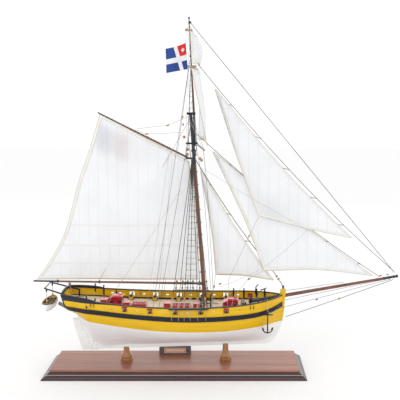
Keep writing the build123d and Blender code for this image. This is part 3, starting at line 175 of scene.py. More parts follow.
# ---------------------------------------------------------------- material helpers
class Paint:
    """A node material that is written down as a short list of steps."""

    def __init__(self, name, rough=0.5, coat=0.0, spec=0.5, metal=0.0, sheen=0.0):
        self.material = bpy.data.materials.new(name)
        self.material.use_nodes = True
        self.tree = self.material.node_tree
        self.shader = self.tree.nodes["Principled BSDF"]
        self.shader.inputs["Roughness"].default_value = rough
        self.shader.inputs["Coat Weight"].default_value = coat
        self.shader.inputs["Coat Roughness"].default_value = 0.12
        self.shader.inputs["Specular IOR Level"].default_value = spec
        self.shader.inputs["Metallic"].default_value = metal
        self.shader.inputs["Sheen Weight"].default_value = sheen
        self.place = self.node("ShaderNodeTexCoord").outputs["Object"]

    def node(self, kind, **settings):
        node = self.tree.nodes.new(kind)
        for key, value in settings.items():
            setattr(node, key, value)
        return node

    def wire(self, value, socket):
        if isinstance(value, bpy.types.NodeSocket):
            self.tree.links.new(value, socket)
        else:
            socket.default_value = value

    def math(self, operation, a, b=0.0):
        node = self.node("ShaderNodeMath", operation=operation)
        self.wire(a, node.inputs[0])
        self.wire(b, node.inputs[1])
        return node.outputs[0]

    def plus(self, a, b):
        return self.math("ADD", a, b)

    def minus(self, a, b):
        return self.math("SUBTRACT", a, b)

    def times(self, a, b):
        return self.math("MULTIPLY", a, b)

    def larger(self, a, b):
        return self.math("MAXIMUM", a, b)

    def above(self, a, b):
        """1 where a is greater than b, 0 elsewhere."""
        return self.math("GREATER_THAN", a, b)

    def below(self, a, b):
        """1 where a is less than b, 0 elsewhere."""
        return self.math("LESS_THAN", a, b)

    def fract(self, a):
        return self.math("FRACT", a)

    def axis(self, name, place=None):
        node = self.node("ShaderNodeSeparateXYZ")
        self.wire(place or self.place, node.inputs[0])
        return node.outputs[name]

    def scaled(self, x, y, z):
        node = self.node("ShaderNodeMapping")
        self.wire(self.place, node.inputs["Vector"])
        node.inputs["Scale"].default_value = (x, y, z)
        return node.outputs[0]

    def noise(self, vector, scale, detail=4.0, distortion=0.0):
        node = self.node("ShaderNodeTexNoise")
        self.wire(vector, node.inputs["Vector"])
        node.inputs["Scale"].default_value = scale
        node.inputs["Detail"].default_value = detail
        node.inputs["Distortion"].default_value = distortion
        return node.outputs["Fac"]

    def band(self, value, edges):
        """1 where the value is between two edges, 0 outside."""
        low = self.above(value, edges[0])
        high = self.below(value, edges[1])
        return self.times(low, high)

    def ramp(self, factor, stops):
        node = self.node("ShaderNodeValToRGB")
        self.wire(factor, node.inputs["Fac"])
        ramp = node.color_ramp
        ramp.elements[0].position, ramp.elements[0].color = stops[0][0], (*stops[0][1], 1.0)
        ramp.elements[1].position, ramp.elements[1].color = stops[-1][0], (*stops[-1][1], 1.0)
        for position, color in stops[1:-1]:
            ramp.elements.new(position).color = (*color, 1.0)
        return node.outputs["Color"]

    def mix(self, factor, a, b):
        node = self.node("ShaderNodeMix", data_type="RGBA")
        self.wire(factor, node.inputs["Factor"])
        self.wire((*a, 1.0) if isinstance(a, tuple) else a, node.inputs[6])
        self.wire((*b, 1.0) if isinstance(b, tuple) else b, node.inputs[7])
        return node.outputs[2]

    def color(self, value):
        self.wire((*value, 1.0) if isinstance(value, tuple) else value, self.shader.inputs["Base Color"])

    def rough(self, value):
        self.wire(value, self.shader.inputs["Roughness"])

    def bump(self, height, strength=0.2, distance=0.0003):
        node = self.node("ShaderNodeBump")
        node.inputs["Strength"].default_value = strength
        node.inputs["Distance"].default_value = distance
        self.wire(height, node.inputs["Height"])
        self.wire(node.outputs["Normal"], self.shader.inputs["Normal"])


def worn_paint(name, color, darker, rough=0.32, coat=0.25, spec=0.5):
    """Brushed hobby paint: slight streaks along the planks and a soft gloss."""
    paint = Paint(name, rough=rough, coat=coat, spec=spec)
    streaks = paint.noise(paint.scaled(30, 200, 260), 1.0, 5.0)
    clouds = paint.noise(paint.place, 45.0, 3.0)
    blend = paint.plus(paint.times(streaks, 0.6), paint.times(clouds, 0.4))
    paint.color(paint.ramp(blend, [(0.3, darker), (0.62, color)]))
    paint.rough(paint.plus(paint.times(clouds, 0.18), rough - 0.09))
    paint.bump(streaks, 0.12, 0.0002)
    return paint.material


def grained_wood(name, light, dark, along, rough=0.35, coat=0.2, fine=1.0):
    """Wood whose grain runs along one axis: rings warped by noise, with pores."""
    paint = Paint(name, rough=rough, coat=coat)
    scale = [260.0 * fine, 260.0 * fine, 260.0 * fine]
    scale["XYZ".index(along)] = 9.0 * fine
    grain = paint.noise(paint.scaled(*scale), 1.0, 8.0, 0.6)
    broad = paint.noise(paint.scaled(*[s * 0.22 for s in scale]), 1.0, 3.0, 1.2)
    pores = paint.noise(paint.scaled(*[s * 3.0 for s in scale]), 1.0, 2.0)
    mixed = paint.plus(paint.times(grain, 0.5), paint.times(broad, 0.5))
    color = paint.ramp(mixed, [(0.33, dark), (0.5, tuple((a + b) / 2 for a, b in zip(light, dark))),
                               (0.66, light)])
    shade = paint.ramp(pores, [(0.3, (0.55, 0.5, 0.5)), (0.45, (1.0, 1.0, 1.0))])
    node = paint.node("ShaderNodeMix", data_type="RGBA", blend_type="MULTIPLY")
    node.inputs["Factor"].default_value = 0.6
    paint.wire(color, node.inputs[6])
    paint.wire(shade, node.inputs[7])
    paint.color(node.outputs[2])
    paint.rough(paint.plus(paint.times(grain, 0.2), rough - 0.1))
    paint.bump(pores, 0.15, 0.0001)
    return paint


# ---------------------------------------------------------------- materials
WHITE = (0.90, 0.90, 0.90)
WHITE_SHADE = (0.84, 0.84, 0.84)
YELLOW = (0.82, 0.50, 0.002)
YELLOW_SHADE = (0.72, 0.41, 0.001)
BLACK = (0.018, 0.019, 0.032)
BLACK_SHADE = (0.008, 0.008, 0.014)
RED = (0.50, 0.006, 0.030)
RED_SHADE = (0.33, 0.004, 0.018)
PAINT_LINE_LOW = 0.0805
PAINT_LINE_CURVE = 0.36
PAINT_LINE_X = 0.050
WALE_TOP = [(-0.200, 0.1215), (-0.137, 0.1186), (-0.067, 0.1136), (0.020, 0.1092), (0.132, 0.1118),
            (0.162, 0.1154), (0.192, 0.1235)]
QUARTER_BAND = [(-0.216, 0.1335), (-0.174, 0.1315), (-0.150, 0.1298), (-0.128, 0.1292), (-0.100, 0.1290)]


def height_line(paint, points):
    """Height of a line of straight runs, at each place along the ship."""
    height = points[0][1]
    for (x0, z0), (x1, z1) in zip(points, points[1:]):
        run = paint.node("ShaderNodeMapRange", clamp=True)
        for name, value in (("From Min", x0), ("From Max", x1), ("To Min", 0.0), ("To Max", z1 - z0)):
            run.inputs[name].default_value = value
        paint.wire(paint.axis("X"), run.inputs["Value"])
        height = paint.plus(height, run.outputs["Result"])
    return height


def stern_edge(paint):
    """The black margin beside the transom, above the counter."""
    lean = paint.times(paint.minus(paint.axis("Z"), 0.112), 0.309)
    behind = paint.below(paint.plus(paint.axis("X"), lean), -0.1815)
    return paint.times(behind, paint.above(paint.axis("Z"), 0.112))


def hull_material():
    """White bottom and yellow topsides, parted by a line that follows the sheer, and a black wale."""
    paint = Paint("hull_paint", rough=0.38, coat=0.08, spec=0.35)
    x = paint.minus(paint.axis("X"), PAINT_LINE_X)
    line = paint.plus(paint.times(paint.times(x, x), PAINT_LINE_CURVE), PAINT_LINE_LOW)
    above = paint.minus(paint.axis("Z"), line)
    wobble = paint.times(paint.minus(paint.noise(paint.place, 160.0, 2.0), 0.5), 0.0005)
    topside = paint.above(paint.plus(above, wobble), 0.0)
    streaks = paint.noise(paint.scaled(14, 90, 420), 1.0, 5.0)
    white = paint.ramp(streaks, [(0.3, WHITE_SHADE), (0.6, WHITE)])
    yellow = paint.ramp(streaks, [(0.3, YELLOW_SHADE), (0.6, YELLOW)])
    sides = paint.mix(topside, white, yellow)
    below_wale = paint.minus(height_line(paint, WALE_TOP), paint.axis("Z"))
    wale = paint.times(paint.band(below_wale, (0.0006, 0.0068)),
                      paint.below(paint.axis("X"), 0.172))
    paint.color(paint.mix(paint.larger(wale, stern_edge(paint)), sides, BLACK))
    plank = paint.fract(paint.times(above, 240.0))
    joint = paint.below(plank, 0.07)
    height = paint.minus(paint.times(streaks, 0.25), paint.times(joint, 0.35))
    paint.bump(height, 0.22, 0.0003)
    paint.rough(paint.plus(paint.times(streaks, 0.15), 0.24))
    return paint.material


def bulwark_material():
    """Yellow inside and out, with black along the outside of the quarters and at the transom."""
    paint = Paint("bulwark_paint", rough=0.38, coat=0.08, spec=0.35)
    streaks = paint.noise(paint.scaled(30, 200, 260), 1.0, 5.0)
    yellow = paint.ramp(streaks, [(0.3, YELLOW_SHADE), (0.62, YELLOW)])
    normal = paint.node("ShaderNodeNewGeometry").outputs["Normal"]
    outside = paint.above(paint.times(paint.axis("Y"), paint.axis("Y", normal)), 0.0)
    above = paint.above(paint.axis("Z"), height_line(paint, QUARTER_BAND))
    aft = paint.below(paint.axis("X"), -0.104)
    band = paint.times(paint.times(outside, above), aft)
    paint.color(paint.mix(paint.larger(band, stern_edge(paint)), yellow, BLACK))
    paint.bump(streaks, 0.1, 0.0002)
    return paint.material


def transom_material():
    """Yellow board with a black margin along its edge."""
    paint = Paint("transom_paint", rough=0.35, coat=0.2)
    streaks = paint.noise(paint.scaled(60, 60, 260), 1.0, 4.0)
    yellow = paint.ramp(streaks, [(0.3, YELLOW_SHADE), (0.62, YELLOW)])
    y = paint.axis("Y")
    z = paint.axis("Z")
    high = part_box("transom")[1]
    edge = paint.above(paint.math("ABSOLUTE", y), high.y - 0.0045)
    arch = paint.minus(high.z - 0.0042, paint.times(paint.times(y, y), 2.9))
    crown = paint.above(z, arch)
    margin = paint.larger(edge, crown)
    paint.color(paint.mix(margin, yellow, BLACK))
    paint.bump(streaks, 0.1, 0.0002)
    return paint.material


def deck_material():
    """Pale laid planks with dark caulked seams and staggered butts."""
    paint = Paint("deck_planks", rough=0.5, coat=0.12)
    x, y = paint.axis("X"), paint.axis("Y")
    plank_width = 0.0042
    lane = paint.math("DIVIDE", paint.plus(y, 0.2), plank_width)
    number = paint.math("FLOOR", lane)
    seam = paint.below(paint.fract(lane), 0.10)
    shift = paint.times(paint.fract(paint.times(number, 0.387)), 0.09)
    butt = paint.below(paint.fract(paint.math("DIVIDE", paint.plus(x, shift), 0.09)), 0.006)
    lines = paint.larger(seam, butt)
    tone = paint.node("ShaderNodeTexWhiteNoise", noise_dimensions="1D")
    paint.wire(number, tone.inputs["W"])
    grain = paint.noise(paint.scaled(12, 500, 12), 1.0, 6.0)
    shade = paint.plus(paint.times(tone.outputs["Value"], 0.5), paint.times(grain, 0.5))
    wood = paint.ramp(shade, [(0.2, (0.70, 0.57, 0.38)), (0.5, (0.80, 0.68, 0.48)),
                              (0.8, (0.87, 0.77, 0.58))])
    paint.color(paint.mix(lines, wood, (0.16, 0.11, 0.07)))
    paint.bump(paint.minus(paint.times(grain, 0.3), lines), 0.25, 0.0003)
    return paint.material


def spar_material(name, black_where):
    """Red-brown stained spar, black in the ranges of X or Z that it is given."""
    paint = grained_wood(name, (0.24, 0.085, 0.045), (0.095, 0.030, 0.018), "Z", 0.32, 0.35, 1.2)
    base = paint.shader.inputs["Base Color"].links[0].from_socket
    mask = None
    for axis, low, high in black_where:
        here = paint.band(paint.axis(axis), (low, high))
        mask = here if mask is None else paint.larger(mask, here)
    if mask is not None:
        paint.color(paint.mix(mask, base, BLACK))
    return paint.material


def veneer_material():
    """Polished red-brown veneer with long grain along the base."""
    paint = grained_wood("base_veneer", (0.45, 0.195, 0.12), (0.22, 0.080, 0.050), "X", 0.36, 0.12, 0.55)
    paint.shader.inputs["Coat Roughness"].default_value = 0.12
    return paint.material


def moulding_material():
    """Dark stained moulding with a pale line between two black ones: the pale line is a painted highlight,
    and the black band just below it is painted shade in the routed groove.
    """
    paint = grained_wood("base_edge", (0.085, 0.032, 0.034), (0.040, 0.014, 0.017), "X", 0.32, 0.2, 0.8)
    base = paint.shader.inputs["Base Color"].links[0].from_socket
    z = paint.axis("Z")
    # Painted shade: the band from 5.0 to 6.4 mm high is black, as if shadowed in the routed groove. Above 10
    # mm a black line runs along the top.
    black = paint.larger(paint.band(z, (0.0050, 0.0064)), paint.above(z, 0.0100))
    # Painted highlight: a thin pale line just above the groove.
    color = paint.mix(paint.band(z, (0.0064, 0.0072)), base, (0.55, 0.50, 0.52))
    paint.color(paint.mix(black, color, (0.012, 0.007, 0.010)))
    return paint.material


def red_material():
    """Glossy crimson panels, with a pink painted highlight on the upward faces."""
    paint = Paint("red_paint", rough=0.2, coat=0.6)
    clouds = paint.noise(paint.place, 120.0, 3.0)
    side = paint.ramp(clouds, [(0.3, RED_SHADE), (0.65, RED)])
    # Painted highlight: faces that point up are mixed most of the way to pink, as if they caught the light.
    up = paint.node("ShaderNodeNewGeometry").outputs["Normal"]
    top = paint.above(paint.axis("Z", up), 0.75)
    paint.color(paint.mix(paint.times(top, 0.75), side, (0.86, 0.27, 0.33)))
    boards = paint.fract(paint.times(paint.axis("X"), 380.0))
    paint.bump(paint.below(boards, 0.12), -0.2, 0.0003)
    return paint.material


def metal_material(name, color, rough, metallic):
    paint = Paint(name, rough=rough, metal=metallic, coat=0.15)
    clouds = paint.noise(paint.place, 400.0, 4.0)
    dark = tuple(c * 0.6 for c in color)
    paint.color(paint.ramp(clouds, [(0.3, dark), (0.65, color)]))
    paint.rough(paint.plus(paint.times(clouds, 0.25), rough - 0.1))
    paint.bump(clouds, 0.12, 0.0001)
    return paint.material


def plaque_metal_material():
    """Brushed blank plate with a dark printed frame."""
    paint = Paint("plaque_metal", rough=0.3, metal=0.85)
    low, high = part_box("name_plate")
    centre = (low + high) / 2
    half = (high - low) / 2
    brushed = paint.noise(paint.scaled(40, 900, 2500), 1.0, 3.0)
    metal = paint.ramp(brushed, [(0.3, (0.42, 0.25, 0.17)), (0.65, (0.66, 0.42, 0.30))])
    across = paint.math("ABSOLUTE", paint.minus(paint.axis("X"), centre.x))
    up = paint.math("ABSOLUTE", paint.minus(paint.axis("Z"), centre.z))
    frame_x = paint.band(across, (half.x - 0.0022, half.x - 0.0014))
    frame_z = paint.band(up, (half.z - 0.0020, half.z - 0.0013))
    inside = paint.times(paint.below(across, half.x - 0.0014),
                        paint.below(up, half.z - 0.0013))
    line = paint.times(paint.larger(frame_x, frame_z), inside)
    paint.color(paint.mix(line, metal, (0.05, 0.03, 0.03)))
    paint.bump(brushed, 0.1, 0.0001)
    return paint.material


def rope_material(name, color, dark):
    """Laid cord: slanting strands and a fine fuzz."""
    paint = Paint(name, rough=0.8, sheen=0.25)
    x, y, z = paint.axis("X"), paint.axis("Y"), paint.axis("Z")
    slant = paint.plus(paint.plus(x, paint.times(y, 0.8)), paint.times(z, 1.3))
    lay = paint.fract(paint.times(slant, 900.0))
    strand = paint.math("ABSOLUTE", paint.minus(lay, 0.5))
    fuzz = paint.noise(paint.place, 2500.0, 2.0)
    mixed = paint.plus(strand, paint.times(fuzz, 0.5))
    paint.color(paint.ramp(mixed, [(0.15, dark), (0.6, color)]))
    paint.bump(mixed, 0.35, 0.0002)
    return paint.material


def cloth_color(paint, u, v, seams, reef_rows):
    """Woven cotton with sewn cloths: returns the colour and a thread-and-seam height."""
    weave_u = paint.math("SINE", paint.times(u, 9000.0))
    weave_v = paint.math("SINE", paint.times(v, 9000.0))
    weave = paint.times(weave_u, weave_v)
    part = paint.fract(paint.times(u, 1.0 / seams))
    seam = paint.below(part, 0.075)
    stitch = paint.band(part, (0.030, 0.045))
    marks = seam
    for row in reef_rows:
        marks = paint.larger(marks, paint.band(v, (row - 0.0018, row + 0.0018)))
    return weave, marks, stitch


SAIL_CLEAR = 0.15


def sail_material(name, seams, reef_rows=()):
    """Thin white cotton that lets light and dark shapes behind it show through faintly."""
    paint = Paint(name, rough=0.85, spec=0.15, sheen=0.15)
    coords = paint.node("ShaderNodeUVMap", uv_map="cloth").outputs["UV"]
    u, v = paint.axis("X", coords), paint.axis("Y", coords)
    weave, marks, stitch = cloth_color(paint, u, v, seams, reef_rows)
    clouds = paint.noise(paint.place, 22.0, 4.0)
    cloth = paint.ramp(clouds, [(0.3, (0.90, 0.905, 0.92)), (0.7, (0.94, 0.945, 0.955))])
    color = paint.mix(marks, cloth, (0.88, 0.88, 0.88))
    color = paint.mix(stitch, color, (0.83, 0.825, 0.815))
    paint.color(color)
    paint.bump(paint.plus(paint.times(weave, 0.2), paint.times(marks, 0.4)), 0.15, 0.00025)
    translucent = paint.node("ShaderNodeBsdfTranslucent")
    paint.wire(color, translucent.inputs["Color"])
    clear = paint.node("ShaderNodeBsdfTransparent")
    glow = paint.node("ShaderNodeMixShader")
    glow.inputs[0].default_value = 0.42
    paint.wire(paint.shader.outputs[0], glow.inputs[1])
    paint.wire(translucent.outputs[0], glow.inputs[2])
    sheer = paint.node("ShaderNodeMixShader")
    sheer.inputs[0].default_value = SAIL_CLEAR
    paint.wire(glow.outputs[0], sheer.inputs[1])
    paint.wire(clear.outputs[0], sheer.inputs[2])
    output = paint.tree.nodes["Material Output"]
    paint.wire(sheer.outputs[0], output.inputs["Surface"])
    return paint.material


def hem_material():
    """Doubled cloth along the edges of the sails: creamier and closer."""
    paint = Paint("sail_hem", rough=0.85, spec=0.15, sheen=0.1)
    clouds = paint.noise(paint.place, 60.0, 4.0)
    threads = paint.noise(paint.scaled(1500, 1500, 1500), 1.0, 2.0)
    paint.color(paint.ramp(clouds, [(0.3, (0.80, 0.785, 0.73)), (0.7, (0.87, 0.855, 0.81))]))
    paint.bump(threads, 0.2, 0.0002)
    return paint.material


def flag_material():
    """Printed cotton: blue quarters, a white cross and a plain red canton with a pale device."""
    paint = Paint("flag_print", rough=0.7, sheen=0.2)
    coords = paint.node("ShaderNodeUVMap", uv_map="cloth").outputs["UV"]
    u, v = paint.axis("X", coords), paint.axis("Y", coords)
    threads = paint.noise(paint.scaled(1800, 1800, 1800), 1.0, 2.0)
    blue = paint.ramp(threads, [(0.3, (0.006, 0.045, 0.22)), (0.7, (0.008, 0.062, 0.31))])
    pale = (0.84, 0.84, 0.85)
    middle = paint.plus(0.265, paint.times(v, 0.25))
    away = paint.minus(u, middle)
    upright = paint.below(paint.math("ABSOLUTE", away), 0.085)
    level = paint.band(v, (0.35, 0.56))
    color = paint.mix(paint.larger(upright, level), blue, pale)
    canton = paint.times(paint.below(away, -0.085), paint.above(v, 0.56))
    color = paint.mix(canton, color, (0.72, 0.012, 0.012))
    lozenge = paint.plus(paint.math("ABSOLUTE", paint.minus(u, 0.17)),
                         paint.math("ABSOLUTE", paint.minus(v, 0.78)))
    color = paint.mix(paint.below(lozenge, 0.09), color, (0.80, 0.74, 0.70))
    paint.color(color)
    paint.bump(threads, 0.2, 0.0002)
    return paint.material


def ensign_material():
    """Three upright stripes: blue at the hoist, white, red at the fly."""
    paint = Paint("ensign_print", rough=0.75, sheen=0.2)
    coords = paint.node("ShaderNodeUVMap", uv_map="cloth").outputs["UV"]
    u = paint.axis("X", coords)
    threads = paint.noise(paint.scaled(1800, 1800, 1800), 1.0, 2.0)
    white = paint.ramp(threads, [(0.3, (0.74, 0.74, 0.76)), (0.7, (0.84, 0.84, 0.85))])
    color = paint.mix(paint.below(u, 0.333), white, (0.012, 0.085, 0.36))
    paint.color(paint.mix(paint.above(u, 0.667), color, (0.62, 0.014, 0.020)))
    paint.bump(threads, 0.2, 0.0002)
    return paint.material


def boat_material():
    """White bottom, black gunwale strake, yellow inside."""
    paint = Paint("boat_paint", rough=0.35, coat=0.25)
    low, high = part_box("boat_hull")
    y = paint.axis("Y")
    gunwale = paint.plus(paint.times(paint.times(y, y), 2.08), 0.1232)
    below = paint.minus(gunwale, paint.axis("Z"))
    streaks = paint.noise(paint.scaled(300, 20, 300), 1.0, 4.0)
    white = paint.ramp(streaks, [(0.3, WHITE_SHADE), (0.6, WHITE)])
    yellow = paint.ramp(streaks, [(0.3, YELLOW_SHADE), (0.6, (0.80, 0.56, 0.10))])
    normal = paint.node("ShaderNodeNewGeometry").outputs["Normal"]
    from_middle = paint.minus(paint.axis("X"), (low.x + high.x) / 2)
    outward = paint.times(from_middle, paint.axis("X", normal))
    inside = paint.below(outward, 0.0)
    level = paint.above(paint.axis("Z", normal), 0.45)
    inner = paint.larger(inside, level)
    strake = paint.times(paint.band(below, (-0.001, 0.0017)), paint.minus(1.0, inner))
    color = paint.mix(inner, white, yellow)
    paint.color(paint.mix(strake, color, BLACK))
    return paint.material


MAT = {
    "base_veneer": veneer_material(),
    "base_edge": moulding_material(),
    "pedestal": grained_wood("pedestal_wood", (0.47, 0.20, 0.055), (0.26, 0.095, 0.025), "Z", 0.25, 0.6,
                             0.8).material,
    "brass": metal_material("screw_brass", (0.80, 0.58, 0.25), 0.3, 1.0),
    "plaque_wood": grained_wood("plaque_wood", (0.10, 0.045, 0.035), (0.045, 0.018, 0.015), "X", 0.3,
                                0.4).material,
    "plaque_metal": plaque_metal_material(),
    "hull": hull_material(),
    "yellow": bulwark_material(),
    "transom": transom_material(),
    "black": worn_paint("black_paint", BLACK, BLACK_SHADE, 0.38, 0.05, 0.3),
    "plywood": grained_wood("plywood", (0.72, 0.56, 0.38), (0.58, 0.42, 0.26), "X", 0.7, 0.0).material,
    "deck": deck_material(),
    "red": red_material(),
    "red_flat": worn_paint("red_flat", RED, RED_SHADE, 0.3, 0.4),
    "tan_metal": metal_material("tan_metal", (0.55, 0.46, 0.32), 0.5, 0.1),
    "iron": metal_material("iron", (0.045, 0.045, 0.055), 0.42, 0.6),
    "gun": metal_material("gun_metal", (0.028, 0.028, 0.034), 0.34, 0.75),
    "truck": worn_paint("truck_wood", (0.06, 0.035, 0.022), (0.03, 0.016, 0.01), 0.5, 0.1),
    "wood": grained_wood("stock_wood", (0.30, 0.13, 0.06), (0.14, 0.05, 0.025), "X", 0.4, 0.2).material,
    "block": grained_wood("block_wood", (0.58, 0.30, 0.11), (0.36, 0.16, 0.055), "Z", 0.35, 0.4,
                          2.0).material,
    "black_rope": rope_material("black_rope", (0.055, 0.055, 0.060), (0.012, 0.012, 0.014)),
    "tan_rope": rope_material("tan_rope", (0.56, 0.49, 0.38), (0.30, 0.25, 0.18)),
    "grey_rope": rope_material("grey_rope", (0.42, 0.40, 0.36), (0.24, 0.22, 0.20)),
    "mast": spar_material("mast_stain", [("Z", 0.362, 0.7), ("Z", 0.0, 0.112)]),
    "topmast": spar_material("topmast_stain", [("Z", 0.3, 0.447), ("Z", 0.508, 0.7)]),
    "boom": spar_material("boom_stain", [("X", -0.3, -0.205), ("X", 0.018, 0.1)]),
    "gaff": spar_material("gaff_stain", [("X", -0.2, -0.100), ("X", 0.008, 0.1)]),
    "bowsprit": spar_material("bowsprit_stain", [("X", 0.1295, 0.186), ("X", 0.362, 0.5)]),
    "yard": spar_material("yard_stain", [("Y", -0.03, 0.03), ("Z", 0.5, 0.7)]),
    "mainsail": sail_material("mainsail_cloth", 0.017, (0.096, 0.061, 0.029)),
    "headsail": sail_material("headsail_cloth", 0.017),
    "hem": hem_material(),
    "flag": flag_material(),
    "ensign": ensign_material(),
    "boat": boat_material(),
}

CAD_PAINT = {
    "base_veneer": ["base_panel"],
    "base_edge": ["base_moulding"],
    "pedestal": ["pedestals"],
    "brass": ["pedestal_screws"],
    "plaque_wood": ["name_block"],
    "plaque_metal": ["name_plate"],
    "hull": ["backbone", "planking_port", "planking_starboard", "rudder", "pintles", "gudgeons"],
    "plywood": ["hull_frames"],
    "yellow": ["bulwark_port", "bulwark_starboard", "gun_carriages", "port_lids", "boat_fittings"],
    "transom": ["transom"],
    "deck": ["deck"],
    "black": ["waterways", "wales", "cap_rail", "quarter_rails", "timberheads", "fife_rail",
              "windlass_bitts", "channels", "anchor_stocks", "crosstrees", "stern_davits"],
    "wood": ["tiller", "windlass_drum"],
    "red": ["aft_companionway", "forward_companionway", "companionway_roofs", "hatches"],
    "red_flat": ["gratings"],
    "gun": ["gun_barrels"],
    "truck": ["gun_trucks"],
    "tan_metal": ["chainplates"],
    "block": ["deadeyes"],
    "iron": ["anchors"],
    "mast": ["lower_mast"],
    "topmast": ["topmast"],
    "bowsprit": ["bowsprit"],
    "boom": ["boom"],
    "gaff": ["gaff"],
    "yard": ["yards"],
    "boat": ["boat_hull"],
    "tan_rope": ["boat_falls"],
    "black_rope": ["standing_rigging"],
    "grey_rope": ["running_rigging"],
}


def paint_cad_nodes():
    """Gives every kept node of the frame its paint."""
    for key, nodes in CAD_PAINT.items():
        for name in nodes:
            mesh = NODES[name].data
            mesh.materials.clear()
            mesh.materials.append(MAT[key])


# ---------------------------------------------------------------- sails
def through(points):
    """A smooth function of 0..1 through a list of points, Catmull-Rom, even in length."""
    spans = [(b - a).length for a, b in zip(points, points[1:])]
    total = sum(spans)
    marks = [0.0]
    for span in spans:
        marks.append(marks[-1] + span / total)

    def at(t):
        k = 0
        while k < len(spans) - 1 and t > marks[k + 1]:
            k += 1
        local = (t - marks[k]) / (marks[k + 1] - marks[k])
        p1, p2 = points[k], points[k + 1]
        p0 = points[k - 1] if k else p1 * 2 - p2
        p3 = points[k + 2] if k + 2 < len(points) else p2 * 2 - p1
        a = 2 * p1
        b = p2 - p0
        c = 2 * p0 - 5 * p1 + 4 * p2 - p3
        d = 3 * p1 - p0 - 3 * p2 + p3
        return (a + b * local + c * local ** 2 + d * local ** 3) * 0.5

    return at


def coons(foot, head, leech, luff):
    """A patch between four edges: u runs leech to luff, v runs foot to head."""
    c00, c10, c01, c11 = foot(0), foot(1), head(0), head(1)

    def at(u, v):
        edges = foot(u) * (1 - v) + head(u) * v + leech(v) * (1 - u) + luff(v) * u
        corners = c00 * (1 - u) * (1 - v) + c10 * u * (1 - v) + c01 * (1 - u) * v + c11 * u * v
        return edges - corners

    return at


def bellied(patch, depth, side, seam_width):
    """The patch filled by wind: fullest forward of the middle, puffed between its seams."""
    def at(u, v):
        flat = patch(u, v)
        fore = math.sin(math.pi * u ** 0.8) * math.sin(math.pi * min(1.0, v * 0.97 + 0.015)) ** 0.8
        cloth = (flat.x + 1.0) / seam_width
        puff = abs(math.sin(math.pi * cloth)) * 0.00035 * min(1.0, 8 * u * (1 - u))
        ripple = noise.noise(Vector((flat.x * 26, flat.z * 9, 3.1))) * 0.0011 * min(1.0, 6 * v)
        return flat + side * (depth * fore + (puff + ripple) * min(1.0, 10 * v * (1 - v)))

    return at


CLOTH_THICK = 0.00022
HEM_LIFT = 0.0003


def thicken(obj):
    """Gives a sheet the thickness of cloth, half to each side."""
    modifier = obj.modifiers.new("thickness", "SOLIDIFY")
    modifier.thickness = CLOTH_THICK
    modifier.offset = 0.0


def grid_sheet(name, surface, count_u, count_v, flat_place, paint, slot):
    """A regular sheet of cloth with its flat measures as UVs."""
    verts, uvs, faces = [], [], []
    for j in range(count_v + 1):
        for i in range(count_u + 1):
            place = surface(i / count_u, j / count_v)
            verts.append(place)
            uvs.append(flat_place(i / count_u, j / count_v, place))
    row = count_u + 1
    for j in range(count_v):
        for i in range(count_u):
            a = j * row + i
            faces.append((a, a + 1, a + row + 1, a + row))
    obj = piece(name, mesh_from(name, verts, faces, uvs), paint, slot)
    thicken(obj)
    return obj


def strip_along(name, surface, edge, width, lift, count=60):
    """A hem: a doubled band of cloth of even width just off the sail along one of its edges."""
    verts, faces = [], []
    for k in range(count + 1):
        t = k / count
        upright = edge in ("foot", "head")
        across = (surface(t, 1) - surface(t, 0)).length if upright else (surface(1, t) - surface(0, t)).length
        part = min(0.45, width / max(across, 0.001))
        outer_inner = {
            "foot": ((t, 0.0), (t, part)), "head": ((t, 1.0), (t, 1.0 - part)),
            "leech": ((0.0, t), (part, t)), "luff": ((1.0, t), (1.0 - part, t)),
        }[edge]
        for u, v in outer_inner:
            verts.append(surface(u, v) + lift)
    for k in range(count):
        a = 2 * k
        faces.append((a, a + 1, a + 3, a + 2))
    obj = piece(name, mesh_from(name, verts, faces), "hem", "sailcloth")
    thicken(obj)
    return obj


def hems(name, surface, widths, side):
    """Hem bands on both faces of a sail."""
    made = []
    for face, sign in (("near", 1), ("far", -1)):
        lift = side * sign * HEM_LIFT
        for edge, width in widths.items():
            made.append(strip_along(f"{name}_{edge}_hem_{face}", surface, edge, width * MM, lift))
    return made


def flat_area(surface, count=60):
    """Area of the cloth laid flat, summed over its small panels."""
    total = 0.0
    for i in range(count):
        for j in range(count):
            a = surface(i / count, j / count)
            b = surface((i + 1) / count, j / count)
            c = surface((i + 1) / count, (j + 1) / count)
            d = surface(i / count, (j + 1) / count)
            total += ((b - a).cross(c - a).length + (c - a).cross(d - a).length) / 2
    return total


def declare(surface):
    flat_area(surface)


def edge_rope(name, surface, edges, radius=0.00045):
    """Bolt rope round the edge of a sail."""
    paths = []
    for edge in edges:
        path = []
        for k in range(25):
            t = k / 24
            u, v = {"foot": (t, 0.0), "head": (t, 1.0), "leech": (0.0, t), "luff": (1.0, t)}[edge]
            path.append(surface(u, v))
        paths.append(path)
    return ropes(name, paths, radius, "tan_rope", "tan_rope", resolution=1)


MAIN_TACK, MAIN_THROAT = mm(43.0, 0, 160.6), mm(25.2, 0, 365.4)
MAIN_PEAK, MAIN_CLEW = mm(-124.5, 0, 445.4), mm(-239.4, 0, 160.8)
MAIN_LEECH = [MAIN_CLEW, mm(-220, 0, 188), mm(-202, 0, 217), mm(-187, 0, 249), mm(-175.2, 0, 288),
              mm(-163.5, 0, 330), mm(-146.0, 0, 378), MAIN_PEAK]
GAFF_JAW, GAFF_PEAK = mm(25.0, 0, 371.0), mm(-128.0, 0, 448.0)
STARBOARD = Vector((0, -1, 0))


